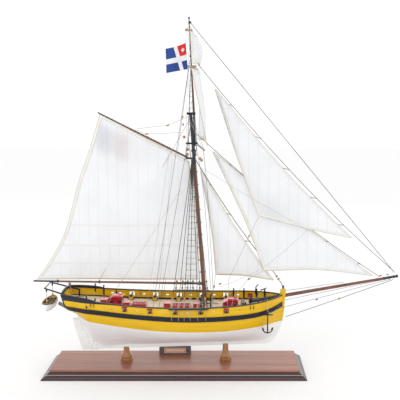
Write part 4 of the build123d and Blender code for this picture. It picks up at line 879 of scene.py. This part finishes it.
def mainsail():
    """The boom and gaff sail, laced to its spars and set to starboard by the wind."""
    foot = through([MAIN_CLEW, mm(-150, 0, 161.4), mm(-60, 0, 160.6), MAIN_TACK])
    head = through([MAIN_PEAK, mm(-50, 0, 406.0), MAIN_THROAT])
    luff = through([MAIN_TACK, mm(34.3, 0, 262), MAIN_THROAT])
    surface = bellied(coons(foot, head, through(MAIN_LEECH), luff), 0.0085, STARBOARD, 0.017)
    sail = grid_sheet("mainsail_cloth", surface, 96, 72,
                      lambda u, v, p: (p.x + 0.3, p.z - MAIN_TACK.z), "mainsail", "sailcloth")
    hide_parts("mainsail")
    bands = hems("mainsail", surface, {"foot": 6.5, "head": 4.5, "leech": 5.5, "luff": 4.5},
                 STARBOARD)
    rope = edge_rope("mainsail_bolt_rope", surface, ("foot", "head", "leech", "luff"))
    declare(surface)
    lace_mainsail(surface)
    reef_points(surface)


def mast_x(z):
    """X of the lower mast's centre line at a height."""
    low, high = mm(54.8, 0, 74), mm(28.3, 0, 446)
    return low.x + (high.x - low.x) * (z - low.z) / (high.z - low.z)


def lace_mainsail(surface):
    """Wooden hoops round the mast, head lacing round the gaff and the outhaul at the clew."""
    def hoops(bm):
        for k in range(9):
            z = surface(1.0, (k + 0.6) / 9.4).z
            add_ring(bm, Vector((mast_x(z) - 0.0006, 0, z)), (-0.07, 0, 1), 0.0051, 0.00055)

    built("mast_hoops", hoops, "wood", "spar_wood")
    turns = []
    for k in range(22):
        edge = surface(1 - (k + 0.7) / 22.6, 1.0)
        spar = GAFF_JAW.lerp(GAFF_PEAK, (GAFF_JAW.x - edge.x) / (GAFF_JAW.x - GAFF_PEAK.x))
        loop = []
        for s in range(9):
            a = 2 * math.pi * s / 8
            loop.append(spar + Vector((0.0004 * s, 0.0024 * math.sin(a), -0.0024 * math.cos(a) - 0.0005)))
        turns.append([edge + Vector((0, 0, -0.0012))] + loop + [edge + Vector((0.0012, 0, -0.0012))])
    ropes("gaff_lacing", turns, 0.00022, "tan_rope", "tan_rope", resolution=1)
    ropes("clew_outhaul", [[MAIN_CLEW, MAIN_CLEW + mm(-2, 0, -1.2), mm(-242.5, 0, 158.9)]], 0.0004,
          "tan_rope", "tan_rope")


REEF_HEIGHTS = (256.5, 221.5, 189.5)


def reef_points(surface):
    """Three rows of short reefing cords, each hanging on both faces of the sail."""
    cords = []
    for row, height in enumerate(REEF_HEIGHTS):
        v = (height - 161) / 278.0 * 1.02
        for k in range(15):
            u = 0.05 + k * 0.064
            top = surface(u, v)
            for side in (-1, 1):
                start = top + Vector((0, side * 0.0006, 0))
                sway = 0.0006 * math.sin(k * 2.3 + row)
                cords.append([start, start + Vector((sway, side * 0.0006, -0.003)),
                              start + Vector((sway * 2, side * 0.0003, -0.0075))])
    ropes("reef_points", cords, 0.00018, "hem", "sailcloth", resolution=1)


def headsail(name, node, corners, leech_mid, foot_mid, luff_hollow, depth, hank_count, stay):
    """Triangular sail hanked to a stay: clew, tack and head, with hollow free edges."""
    clew, tack, head_point = corners
    peak = head_point + Vector((-0.0022, 0, 0.0002))
    leech = through([clew, leech_mid, peak])
    foot = through([clew, foot_mid, tack])
    hollows = [tack.lerp(head_point, t).lerp(clew, hollow) for t, hollow in luff_hollow]
    luff = through([tack] + hollows + [head_point])
    head = through([peak, head_point])
    surface = bellied(coons(foot, head, leech, luff), depth, STARBOARD, 0.017)
    sail = grid_sheet(f"{name}_cloth", surface, 56, 64,
                      lambda u, v, p: (p.x + 0.3, p.z), "headsail", "sailcloth")
    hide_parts(node)
    bands = hems(name, surface, {"foot": 6.5, "leech": 5.5, "luff": 4.5}, STARBOARD)
    rope = edge_rope(f"{name}_bolt_rope", surface, ("foot", "leech", "luff"))
    declare(surface)
    low, high, sag = stay
    loops = []
    for k in range(hank_count):
        edge = surface(1.0, (k + 0.5) / hank_count)
        t = (edge - low).dot(high - low) / (high - low).length_squared
        on_stay = low.lerp(high, t) - mm(0, 0, 4 * sag * t * (1 - t))
        away = (on_stay - edge).normalized()
        loops.append([edge, on_stay + away * 0.0011 + Vector((0, 0.0009, 0)), on_stay + away * 0.0014,
                      on_stay + away * 0.0011 - Vector((0, 0.0009, 0)), edge + mm(0.6, 0, -0.6)])
    ropes(f"{name}_hanks", loops, 0.00032, "black_rope", "black_rope", resolution=1)


def headsails():
    """The three triangular sails forward of the mast, each on its own stay."""
    headsail("flying_jib", "flying_jib",
             (mm(142.8, -15.5, 274.8), mm(304.6, -0.4, 233.7), mm(71.0, -0.6, 487.0)),
             mm(101, -9.0, 389), mm(226, -8.0, 251.5),
             [(0.15, 0.035), (0.35, 0.07), (0.6, 0.07), (0.85, 0.03)],
             0.010, 5, (mm(381.0, 9.8, 172.6), mm(30.0, 0, 541.5), 16.3))
    headsail("jib", "jib",
             (mm(153.3, -7.0, 177.4), mm(344.0, 5.0, 165.8), mm(67.2, 2.0, 381.8)),
             mm(119, -3.5, 268), mm(247, -1.0, 178.0), [(0.3, 0.03), (0.6, 0.05), (0.85, 0.01)],
             0.007, 5, (mm(356.5, 6.0, 163.2), mm(36.0, 0, 414.0), 11.0))
    headsail("fore_staysail", "fore_staysail",
             (mm(70.3, 6.8, 167.2), mm(171.5, 0.6, 158.8), mm(46.2, 0.6, 350.6)),
             mm(62.0, 3.5, 252), mm(118, 3.0, 166.5), [(0.3, 0.05), (0.6, 0.06), (0.85, 0.03)],
             0.005, 4, (mm(170.0, 0, 174.5), mm(36.5, 0, 368.0), 8.0))


def yard_way(degrees):
    """Direction of a yard from its starboard end to its port end, braced forward to port."""
    return Vector((math.sin(math.radians(degrees)), math.cos(math.radians(degrees)), 0))


YARDS = {
    # centre, half length, direction
    "lower": (mm(42.6, 0, 392.0), 116.0 * MM, yard_way(-5.6)),
    "topsail": (mm(32.6, 0, 521.0), 85.0 * MM, yard_way(3.4)),
    "topgallant": (mm(29.4, 0, 580.0), 58.0 * MM, yard_way(3.4)),
}


def square_sail(name, top, top_half, top_way, low, low_half, low_way, depth):
    """Square sail bent to its yard, sheeted to the yard below and bellied forward."""
    ahead = Vector((1, 0, 0))
    corners = [low - low_way * low_half, low + low_way * low_half, top - top_way * top_half,
               top + top_way * top_half]
    foot = through([corners[0], low + Vector((0, 0, 0.004)), corners[1]])
    head = through([corners[2], corners[3]])
    leech = through([corners[0], corners[0].lerp(corners[2], 0.5) + Vector((0, 0.002, 0)), corners[2]])
    luff = through([corners[1], corners[1].lerp(corners[3], 0.5) - Vector((0, 0.002, 0)), corners[3]])
    patch = coons(foot, head, leech, luff)

    def surface(u, v):
        fill = math.sin(math.pi * u) ** 0.7 * math.sin(math.pi * (v * 0.9 + 0.05)) ** 0.8
        return patch(u, v) + ahead * depth * fill

    sail = grid_sheet(f"{name}_cloth", surface, 60, 40,
                      lambda u, v, p: (p.y + 0.3, p.z), "headsail", "sailcloth")
    widths = {"foot": 6.5, "head": 4.5, "leech": 5.5, "luff": 4.5}
    bands = hems(name, surface, widths, ahead)
    rope = edge_rope(f"{name}_bolt_rope", surface, ("foot", "head", "leech", "luff"))
    declare(surface)
    return sail


def square_sails():
    """The topsail and the topgallant with the ties that hold them to their yards."""
    lower, topsail, topgallant = (YARDS[name][2] for name in ("lower", "topsail", "topgallant"))
    first = square_sail("square_topsail", mm(37.8, 0, 517.6), 78 * MM, topsail,
                        mm(48.1, 0, 397.4), 104 * MM, lower, 0.009)
    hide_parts("square_sails")
    square_sail("topgallant_sail", mm(33.2, 0, 577.2), 52 * MM, topgallant,
                mm(38.0, 0, 525.4), 73 * MM, topsail, 0.012)
    ties = []
    for name, half, drop in (("topsail", 78, 2.6), ("topgallant", 52, 2.2)):
        centre, _, way = YARDS[name]
        for k in range(15):
            spot = centre + way * (half * MM * (-1 + k / 7.0) * 0.97)
            loop = []
            for s in range(9):
                a = 2 * math.pi * s / 8
                loop.append(spot + Vector((0.0008 + 0.0022 * math.cos(a), 0, 0.0022 * math.sin(a))))
            loop.append(spot + Vector((0.0034, 0, -drop * MM - 0.0008)))
            ties.append(loop)
    ropes("head_robands", ties, 0.00022, "tan_rope", "tan_rope", resolution=1)


# ---------------------------------------------------------------- flags
def flag(name, hoist_top, hoist_low, fly_top, fly_low, waves, paint, node=None):
    """Small printed flag, rippling towards its fly."""
    def surface(u, v):
        low = hoist_low.lerp(fly_low, u)
        high = hoist_top.lerp(fly_top, u)
        ripple = math.sin(u * math.pi * waves + v * 1.3) * 0.0022 * u
        curl = math.sin(u * math.pi * 0.5) ** 3 * 0.0015 * (1 - v)
        sag = -0.0014 * math.sin(math.pi * u) * v
        return low.lerp(high, v) + Vector((0, ripple + curl, sag))

    cloth = grid_sheet(name, surface, 40, 30, lambda u, v, p: (u, v), paint, "flag_cloth")
    if node:
        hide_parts(node)
    width = (hoist_top - fly_top).length
    length = (hoist_top - hoist_low).length
    min(flat_area(surface), width * length * 1.02)


def flags():
    """The masthead flag, the ensign and the lines they fly from."""
    flag("masthead_flag", mm(20.8, 0, 563.0), mm(23.8, 0, 520.0),
         mm(-13.0, 0, 553.5), mm(-12.0, 0, 513.5), 2.2, "flag", "flags")
    flag("ensign", mm(-127.5, 8.0, 431.0), mm(-131.0, 8.0, 388.0),
         mm(-77.0, 8.0, 406.0), mm(-79.0, 8.0, 361.0), 2.6, "ensign")
    halyards = [
        [mm(21.4, 0.3, 584.0), mm(20.9, 0, 562.5)],
        [mm(23.7, 0, 520.5), mm(20.0, 5.0, 400.0), mm(11.0, 30.0, 140.0)],
        [mm(-125.5, 4.0, 447.0), mm(-127.8, 8.0, 431.0)],
        [mm(-131.0, 8.0, 388.2), mm(-150.0, 20.0, 260.0), mm(-176.0, 37.5, 146.0)],
    ]
    ropes("flag_halyards", halyards, 0.00022, "tan_rope", "tan_rope", resolution=1)


# ---------------------------------------------------------------- rigging
def rail_z(x):
    """Height of the bulwark's rail, which rises to both ends."""
    return (124.0 + 0.00032 * (x - 25.0) ** 2) * MM


def deck_z(x, y=0.0):
    """Height of the deck below the rail, with its camber."""
    return rail_z(x) + (2.6 * (1 - (y / 60.0) ** 2) - 15.0) * MM


SHROUD_FEET = (18.0, 28.0, 40.5)
CHANNEL_Y = 60.6


def shroud_point(x, side, z):
    """A point on a lower shroud at a height."""
    low = mm(x, side * CHANNEL_Y, 129.2)
    high = mm(31.57 + (x - 28) * 0.05, side * 4.6, 369.0)
    return low.lerp(high, (z * MM - low.z) / (high.z - low.z))


def ratlines():
    """Rope ladders across the three shrouds of each side, with a hitch at every crossing."""
    steps, hitches = [], []
    for side in (-1, 1):
        z = 150.0
        while z < 356:
            row = [shroud_point(x, side, z) for x in SHROUD_FEET]
            step = [row[0] + mm(-0.9, 0, 0)]
            for a, b in zip(row, row[1:]):
                step.append((a + b) / 2 + mm(0, 0, -0.5))
                step.append(b)
            step[-1] = row[-1] + mm(0.9, 0, 0)
            steps.append(step)
            hitches += row
            z += 9.6
    ropes("ratlines", steps, 0.00026, "black_rope", "black_rope", resolution=1)

    def knots(bm):
        for place in hitches:
            add_ball(bm, place, (0.0009, 0.0009, 0.0007), rings=4)

    built("ratline_hitches", knots, "black_rope", "black_rope")


def topmast_shrouds():
    """Light shrouds from the ends of the crosstrees to the topmast head, with their ratlines."""
    legs, steps = [], []
    for side in (-1, 1):
        feet = (mm(23.5, side * 16.2, 398.4), mm(38.0, side * 16.2, 398.4))
        head = mm(29.6, side * 1.2, 540.0)
        for foot in feet:
            legs.append([foot, head])
        for k in range(13):
            t = 0.08 + k * 0.065
            steps.append([foot.lerp(head, t) for foot in feet])
    ropes("topmast_shrouds", legs, 0.00032, "black_rope", "black_rope")
    ropes("topmast_ratlines", steps, 0.0002, "black_rope", "black_rope", resolution=1)
    futtocks = []
    for side in (-1, 1):
        for x in (25.0, 38.6):
            futtocks.append([mm(x, side * 16.2, 395.6), mm(31.6 + (x - 31) * 0.3, side * 6.4, 360.0)])
    ropes("futtock_shrouds", futtocks, 0.00032, "black_rope", "black_rope")


def running_lines():
    """Halyards, braces, lifts and tackles that the frame's own rigging doesn't carry."""
    lines = [
        sagging(mm(47.0, -22, 357.0), mm(224.5, -31, 253.5), 0.002),
        sagging(mm(224.5, -31, 253.5), mm(150.2, -28, 187.0), 0.002),
        sagging(mm(150.2, -28, 187.0), mm(78.0, -20.0, 153.0), 0.002),
        sagging(mm(11.5, -3.5, 318.9), mm(-109.2, -46.5, 133.0), 0.0),
        sagging(mm(-9.2, -2.5, 376.6), mm(-44.0, -53.0, 127.6), 0.0),
        sagging(mm(-3.0, -2.5, 372.3), mm(-26.6, -54.8, 126.0), 0.0),
        sagging(mm(11.5, 3.5, 318.9), mm(-109.2, 46.5, 133.0), 0.0),
        sagging(mm(-9.2, 2.5, 376.6), mm(-44.0, 53.0, 127.6), 0.0),
    ]
    ropes("light_lines", lines, 0.00022, "grey_rope", "tan_rope", resolution=1)
    dark = [
        [mm(50.5, -60.0, 391.0), mm(55.0, -30.0, 347.0), mm(60.4, -12.0, 245.7), mm(66.0, -10.0, 140.0)],
        [mm(34.5, 60.0, 391.0), mm(45.0, 30.0, 347.0), mm(55.4, 12.0, 245.7), mm(61.0, 10.0, 140.0)],
        [mm(193.5, 4.0, 139.5), mm(294.0, 6.2, 154.0)],
    ]
    ropes("clew_lines", dark, 0.0003, "black_rope", "black_rope", resolution=1)
    braces = []
    for name, aft in (("lower", mm(24.0, 0, 441.0)), ("topsail", mm(27.0, 0, 450.0)),
                      ("topgallant", mm(28.4, 0, 545.0))):
        centre, half, way = YARDS[name]
        for side in (-1, 1):
            tip = centre + way * half * side * 0.96
            braces.append(sagging(tip, aft + Vector((0, side * 0.002, 0)), 0.001))
    sheets = []
    for side in (-1, 1):
        for lower, share in (("topsail", 0.88), ("lower", 0.91)):
            low_centre, low_half, low_way = YARDS[lower]
            spot = low_centre + low_way * low_half * share * side
            sheets.append([spot + mm(3.4, 0, 5.0), spot + mm(0.4, 0, 1.0)])
    ropes("yard_braces", braces + sheets, 0.00022, "grey_rope", "tan_rope", resolution=1)


def pulley(bm_wood, bm_rope, centre, toward, radius):
    """Wooden block: two cheeks round a sheave, with a rope strop along its groove."""
    way = Vector(toward).normalized()
    turn = way.to_track_quat("Z", "Y").to_matrix().to_4x4()
    side = turn.to_3x3() @ Vector((0, 1, 0))
    for sign in (-1, 1):
        add_ball(bm_wood, centre + side * radius * 0.28 * sign,
                 (radius * 0.82, radius * 0.34, radius * 1.12), turn)
    add_rod(bm_wood, centre - side * radius * 0.5, centre + side * radius * 0.5, radius * 0.5)
    add_ring(bm_rope, centre, side, radius * 1.02, radius * 0.16)


BLOCKS = [
    # place, direction of the rope, radius in millimetres
    ((126.9, -17.2, 240.0), (0.5, 0, 1), 1.9),
    ((127.3, -12.3, 164.5), (1, 0, 0.6), 2.1),
    ((-46.0, 0, 412.2), (1, 0, 0.05), 2.0),
    ((-10.5, 0, 426.7), (1, 0, 0.45), 2.0),
    ((286.0, 3.5, 125.3), (1, 0, 0.35), 2.0),
    ((-183.6, 0, 152.5), (0, 0, 1), 1.9),
    ((77.6, 12.0, 149.5), (1, 0, 0.4), 1.9),
    ((67.2, 12.9, 144.8), (0.2, 0, 1), 1.9),
    ((22.4, 0, 386.0), (0, 0, 1), 2.0),
    ((22.0, 0, 377.6), (0, 0, 1), 2.0),
    ((14.4, 0, 440.6), (0.6, 0, 1), 1.9),
    ((15.4, 0, 428.0), (0.3, 0, 1), 1.8),
    ((17.0, 0, 407.0), (0, 0, 1), 1.8),
    ((21.6, 0.4, 584.0), (0, 0, 1), 1.6),
    ((33.0, -3.4, 524.0), (0, 0, 1), 1.7),
    ((36.5, -6.0, 524.0), (0, 0, 1), 1.5),
    ((30.2, -3.6, 583.5), (0, 0, 1), 1.5),
    ((44.0, -8.0, 371.0), (0, 0, 1), 1.8),
    ((46.4, -4.0, 368.0), (0, 0, 1), 1.8),
    ((370.2, 9.8, 166.9), (1, 0, 0.2), 1.6),
    ((358.5, 9.5, 165.2), (1, 0, 0.2), 1.6),
    ((377.0, 9.4, 163.0), (1, 0, 0.1), 1.6),
    ((244.3, -14.0, 128.5), (1, 0, 0.2), 1.7),
]


def blocks():
    """All the pulley blocks as one piece and all their strops as another."""
    wood, strops = bmesh.new(), bmesh.new()
    for place, toward, radius in BLOCKS:
        pulley(wood, strops, mm(*place), toward, radius * 1.2 * MM)
    for name, bm, key, slot in (("pulley_blocks", wood, "block", "block_wood"),
                                ("block_strops", strops, "tan_rope", "tan_rope")):
        obj = piece(name, mesh_from_bmesh(name, bm), key, slot)
        if name == "pulley_blocks":
            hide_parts("rigging_blocks")


BOWSPRIT_SLOPE, GAFF_SLOPE = 0.1761, 0.5033


def seizings():
    """Black bands and collars where stays meet spars, and the rings at the bowsprit end."""
    def build(bm):
        for x in (364.0, 372.5, 381.0, 386.0):
            z = 119.4 + (x - 129.0) * BOWSPRIT_SLOPE
            add_ring(bm, mm(x, 6.6, z), (1, 0, 0.176), 0.0025, 0.0007)
        for z, x in ((541.5, 29.6), (596.0, 27.8), (414.0, 31.6), (377.0, 34.2), (384.0, 32.6)):
            radius = 0.0021 if z > 500 else 0.0034
            for k in range(3):
                add_ring(bm, mm(x - 0.07 * k, 0, z + 1.1 * k - 1.1), (-0.05, 0, 1), radius, 0.0006)
        for x, z in ((-205.0, 157.2), (-132.8, 156.1), (16.0, 153.8)):
            for k in range(3):
                add_ring(bm, mm(x + k, 0, z), (1, 0, 0), 0.0023, 0.0005)
        for x in (-44.6, -8.9):
            z = 371.0 + (25.0 - x) * GAFF_SLOPE
            add_ring(bm, mm(x, 0, z), (1, 0, -0.5), 0.0024, 0.0006)
        for k in range(6):
            add_ring(bm, mm(187.3, 0, 144.6 + k * 0.9), (0.1, 0, 1), 0.0013, 0.0005)

    built("seizings", build, "black_rope", "black_rope")


# ---------------------------------------------------------------- hull and deck detail
GUN_X = (-82.0, -39.5, 3.0, 45.5, 88.0)
FIFE_RAIL_X = (44.6, 61.4)
# half breadth of the hull at the rail, by distance along it, in millimetres
HALF_BREADTHS = {
    -137.0: 45.8, -117.0: 48.9, -103.0: 50.7, -82.0: 53.0, -60.5: 55.0, -39.5: 56.2, -18.0: 56.9,
    3.0: 57.1, 24.0: 56.9, 45.5: 56.5, 67.0: 55.1, 88.0: 52.9, 110.0: 49.1, 131.5: 42.7,
}


def belaying_pins():
    """Pins through the two fife rails beside the mast."""
    def build(bm):
        for x in FIFE_RAIL_X:
            z = deck_z(x) / MM + 13.5
            for y in (-12.2, -5.5, -2.0, 2.0, 5.5, 12.2):
                add_rod(bm, mm(x + 1.4, y, z - 3.4), mm(x + 1.4, y, z + 2.4), 0.00035, 0.0005, 10)
                add_ball(bm, mm(x + 1.4, y, z + 3.1), (0.0006, 0.0006, 0.0013))

    built("belaying_pins", build, "block", "block_wood")


def rope_coil(centre, radius, turns, drop):
    """A hank of slack rope hung over a pin."""
    points = []
    for k in range(turns * 10 + 1):
        a = 2 * math.pi * k / 10
        grow = 1.0 + 0.12 * math.sin(k * 1.7)
        x = centre.x + math.cos(a) * radius * grow * 0.55
        z = centre.z - drop * 0.5 + math.sin(a) * drop * 0.5 * grow
        y = centre.y + 0.0006 * math.sin(k * 0.9) + 0.00025 * (k / 10)
        points.append(Vector((x, y, z)))
    return points


def hanging_coils():
    """Slack rope hung on the fife rails and along the inside of the bulwarks."""
    coils = []
    for x in FIFE_RAIL_X:
        z = deck_z(x) + 15.0 * MM
        for y in (-12.2, -5.5, 5.5, 12.2):
            coils.append(rope_coil(Vector((x * MM + 0.0022, y * MM, z)), 0.0030, 4, 0.0085))
    for side in (-1, 1):
        for x, y in ((-66.0, 51.4), (-26.0, 53.2), (62.0, 52.2), (100.0, 48.0)):
            coils.append(rope_coil(Vector((x * MM, side * y * MM, rail_z(x) - 0.001)), 0.0030, 4, 0.0075))
    ropes("hanging_coils", coils, 0.0003, "tan_rope", "tan_rope", resolution=1)


def flat_coils():
    """Rope cheesed down on the deck beside the guns and round the mast."""
    coils = []
    for x, y in ((70.0, -20.0), (70.0, 20.0), (36.0, -24.0), (-28.0, -18.0), (-100.0, 20.0), (116.0, -24.0)):
        points = []
        turns = 5
        for k in range(turns * 12 + 1):
            a = 2 * math.pi * k / 12
            r = 0.0012 + 0.0045 * k / (turns * 12)
            px, py = x * MM + r * math.cos(a), y * MM + r * math.sin(a)
            points.append(Vector((px, py, deck_z(px / MM, py / MM) + 0.0006)))
        coils.append(points)
    ropes("deck_coils", coils, 0.00045, "tan_rope", "tan_rope", resolution=1)


def gun_tackle():
    """Breeching ropes from each gun to ring bolts beside its port."""
    lines = []
    for side in (-1, 1):
        for x in GUN_X:
            wall = (HALF_BREADTHS[x] - 2.3) * side
            breech = (HALF_BREADTHS[x] - 20.4) * side
            z = rail_z(x) / MM - 6.65
            for lean in (-1, 1):
                lines.append([mm(x + lean * 7.2, wall, z - 1.5),
                              mm(x + lean * 6.0, (wall + breech) / 2, z - 3.2),
                              mm(x + lean * 3.0, breech + side, z - 0.6), mm(x, breech, z)])
    ropes("breeching_ropes", lines, 0.0003, "tan_rope", "tan_rope", resolution=1)

    def rings(bm):
        for side in (-1, 1):
            for x in GUN_X:
                wall = (HALF_BREADTHS[x] - 2.2) * side
                for lean in (-1, 1):
                    add_ring(bm, mm(x + lean * 7.2, wall, rail_z(x) / MM - 8.0), (1, 0, 0.2), 0.0008,
                             0.0002, 12, 6)

    built("ring_bolts", rings, "iron", "iron")


def port_hardware():
    """Hinge straps of the closed ports and the small lids triced up over the gun ports."""
    def straps(bm):
        for side in (-1, 1):
            for x in (-137.0, 131.5):
                slope = {-137.0: 0.10, 131.5: -0.42}[x]
                for dx in (-2.6, 2.6):
                    y = (HALF_BREADTHS[x] + slope * dx + 0.55) * side
                    z = rail_z(x) / MM
                    add_box(bm, mm(x + dx, y, z - 5.4), (0.0009, 0.0007, 0.0062))
                    add_ball(bm, mm(x + dx, y, z - 2.3), (0.0008, 0.0005, 0.0006))

    built("port_hinges", straps, "iron", "iron")

    def lids(bm):
        for side in (-1, 1):
            for x in (-82.0, -39.5, 88.0):
                z = rail_z(x) / MM - 2.5
                turn = Matrix.Rotation(side * math.radians(-18), 4, "X")
                add_box(bm, mm(x, (HALF_BREADTHS[x] + 2.0) * side, z + 0.5), (0.0088, 0.0034, 0.0008), turn)

    built("upper_port_lids", lids, "red_flat", "red_paint")


def inner_timbers():
    """Black stanchions on the inside of the bulwarks, in line with the timberheads."""
    def build(bm):
        for side in (-1, 1):
            for x, y, lean in ((-147, 42.8, 0.09), (-132, 44.5, 0.09), (-110, 47.7, 0.1), (102, 48.2, -0.3),
                               (120.5, 43.3, -0.4), (143, 34.4, -0.58), (157, 26.6, -0.7)):
                z = rail_z(x) / MM
                turn = Matrix.Rotation(side * math.atan(lean), 4, "Z")
                add_box(bm, mm(x, side * y, z - 6.2), (0.0027, 0.0016, 0.0118), turn)

    built("bulwark_timbers", build, "black", "black_paint")


def port_backs():
    """Red inner faces of the two forward closed ports."""
    def build(bm):
        for side in (-1, 1):
            turn = Matrix.Rotation(side * math.atan(-0.42), 4, "Z")
            z = rail_z(131.5) / MM - 6.45
            add_box(bm, mm(131.5, side * 40.1, z), (0.0086, 0.0008, 0.0072), turn)

    built("port_backs", build, "red_flat", "red_paint")


def anchor_gear():
    """Cathead, anchor ring seizing, cable to the hawse hole and a short davit each side."""
    cables, beams = [], bmesh.new()
    for side in (-1, 1):
        y = 36.0 * side
        cables.append([mm(158.5, y, 114.4), mm(158.6, y * 0.98, 122.0), mm(158.0, 30.0 * side, 133.2)])
        cables.append([mm(158.5, y, 113.6), mm(164.0, 31.0 * side, 108.0), mm(171.0, 22.5 * side, 109.5),
                       mm(175.6, 17.0 * side, 112.6)])
        cables.append([mm(158.0, 30.0 * side, 133.8), mm(150.0, 28.0 * side, 128.0),
                       mm(140.0, 22.0 * side, 119.5)])
        add_rod(beams, mm(150.0, 27.0 * side, 134.0), mm(160.6, 37.0 * side, 135.4), 0.0011, 0.0009)
        add_ring(beams, mm(176.0, 16.6 * side, 112.6), (0.6, 0.8 * side, 0), 0.0013, 0.0005)
    ropes("anchor_cables", cables, 0.0005, "tan_rope", "tan_rope")
    piece("catheads", mesh_from_bmesh("catheads", beams), "black", "black_paint")
    ropes("fish_davit", [[mm(141.0, 36.2, 124.0), mm(141.0, 36.2, 134.5), mm(142.5, 36.0, 139.5),
                          mm(146.0, 35.4, 142.0)]], 0.0009, "black", "black_paint", resolution=3)


def boat_gear():
    """Oars and ribs of the ship's boat, which swing with it."""
    def oars(bm):
        for x, y0, y1 in ((-222.0, -24.0, 20.0), (-216.4, -22.0, 22.0)):
            add_rod(bm, mm(x, y0, 121.6), mm(x, y1, 121.4), 0.0005, 0.0004, 10)
            add_box(bm, mm(x, y1 + 2.4, 121.4), (0.0016, 0.006, 0.0004))

    built("oars", oars, "block", "block_wood", "ships_boat")
    ribs = []
    for k in range(11):
        y = -25 + k * 5.0
        half = 9.9 * (1 - abs(y / 30.0) ** 2.6) ** 0.8
        top = 122.4 + 2 * (y / 31) ** 2
        keel = 110.2 + 5.0 * abs(y / 31) ** 3
        ribs.append([mm(-219 - half, y, top), mm(-219 - half * 0.86, y, (top + keel) / 2), mm(-219, y, keel),
                     mm(-219 + half * 0.86, y, (top + keel) / 2), mm(-219 + half, y, top)])
    ropes("boat_ribs", ribs, 0.00035, "yellow", "boat_paint", "ships_boat", resolution=1)


def stern_gear():
    """Rudder pendants hooked under the counter."""
    ropes("rudder_pendants", [[mm(-176.0, -13.0, 111.5), mm(-178.0, -8.0, 104.5), mm(-176.5, -3.0, 101.0)],
                              [mm(-176.0, 13.0, 111.5), mm(-178.0, 8.0, 104.5), mm(-176.5, 3.0, 101.0)]],
          0.0004, "tan_rope", "tan_rope")


def windows():
    """Dark panes let into the companionways."""
    def build(bm):
        for x0, x1, half, height, slope in ((-117.0, -92.0, 10.5, 14.0, 7.0), (82.5, 108.5, 9.0, 11.5, 8.0)):
            z = deck_z((x0 + x1) / 2) / MM
            for side in (-1, 1):
                for x in (x0 + 4.0 + slope / 2, x1 - 5.0):
                    add_box(bm, mm(x, side * (half - 0.45), z + height * 0.45),
                            (0.0066, 0.0003, height * 0.29 * MM))

    built("window_panes", build, "iron", "iron")


# ---------------------------------------------------------------- stage
def stage():
    """White floor and white surroundings."""
    mesh = mesh_from("floor", [(-6, -6, 0), (6, -6, 0), (6, 6, 0), (-6, 6, 0)], [(0, 1, 2, 3)])
    floor = link(bpy.data.objects.new("floor", mesh))
    paint = bpy.data.materials.new("floor_paper")
    paint.use_nodes = True
    shader = paint.node_tree.nodes["Principled BSDF"]
    shader.inputs["Base Color"].default_value = (0.93, 0.93, 0.93, 1)
    shader.inputs["Roughness"].default_value = 0.9
    mesh.materials.append(paint)
    world = bpy.data.worlds.new("studio")
    bpy.context.scene.world = world
    world.use_nodes = True
    background = world.node_tree.nodes["Background"]
    background.inputs["Color"].default_value = (1.0, 1.0, 1.0, 1.0)
    background.inputs["Strength"].default_value = 1.05


def area_light(name, place, target, size, power):
    light = bpy.data.lights.new(name, "AREA")
    light.shape = "RECTANGLE"
    light.size, light.size_y = size
    light.energy = power
    lamp = link(bpy.data.objects.new(name, light))
    lamp.location = place
    lamp.rotation_euler = (Vector(target) - Vector(place)).to_track_quat("-Z", "Y").to_euler()


def lights():
    """Soft light from all round, as in a product photograph."""
    bpy.context.scene.view_settings.view_transform = "Standard"
    area_light("key", (-0.9, -1.3, 1.5), (0, 0, 0.2), (0.9, 0.9), 3.5)
    area_light("fill", (1.4, -0.9, 0.9), (0, 0, 0.25), (1.2, 1.2), 1.0)
    area_light("back", (0.3, 1.6, 1.2), (0, 0, 0.3), (1.6, 1.0), 1.5)


CAMERA_PLACE = mm(81.0, -1220.0, 465.6)
CAMERA_PITCH = math.radians(7.75)
FOCAL_SHARE = 1.8


def camera():
    """The photograph's viewpoint: starboard side, a little above the deck."""
    data = bpy.data.cameras.new("camera")
    data.sensor_width = 36.0
    data.lens = 36.0 * FOCAL_SHARE
    data.shift_x = -0.055
    data.clip_end = 50.0
    view = link(bpy.data.objects.new("camera", data))
    view.location = CAMERA_PLACE
    view.rotation_euler = (math.pi / 2 - CAMERA_PITCH, 0, 0)
    bpy.context.scene.camera = view


# ---------------------------------------------------------------- build
paint_cad_nodes()
camera()
stage()
lights()
mainsail()
headsails()
square_sails()
flags()
ratlines()
topmast_shrouds()
running_lines()
blocks()
seizings()
belaying_pins()
hanging_coils()
flat_coils()
gun_tackle()
port_hardware()
inner_timbers()
port_backs()
anchor_gear()
boat_gear()
stern_gear()
windows()
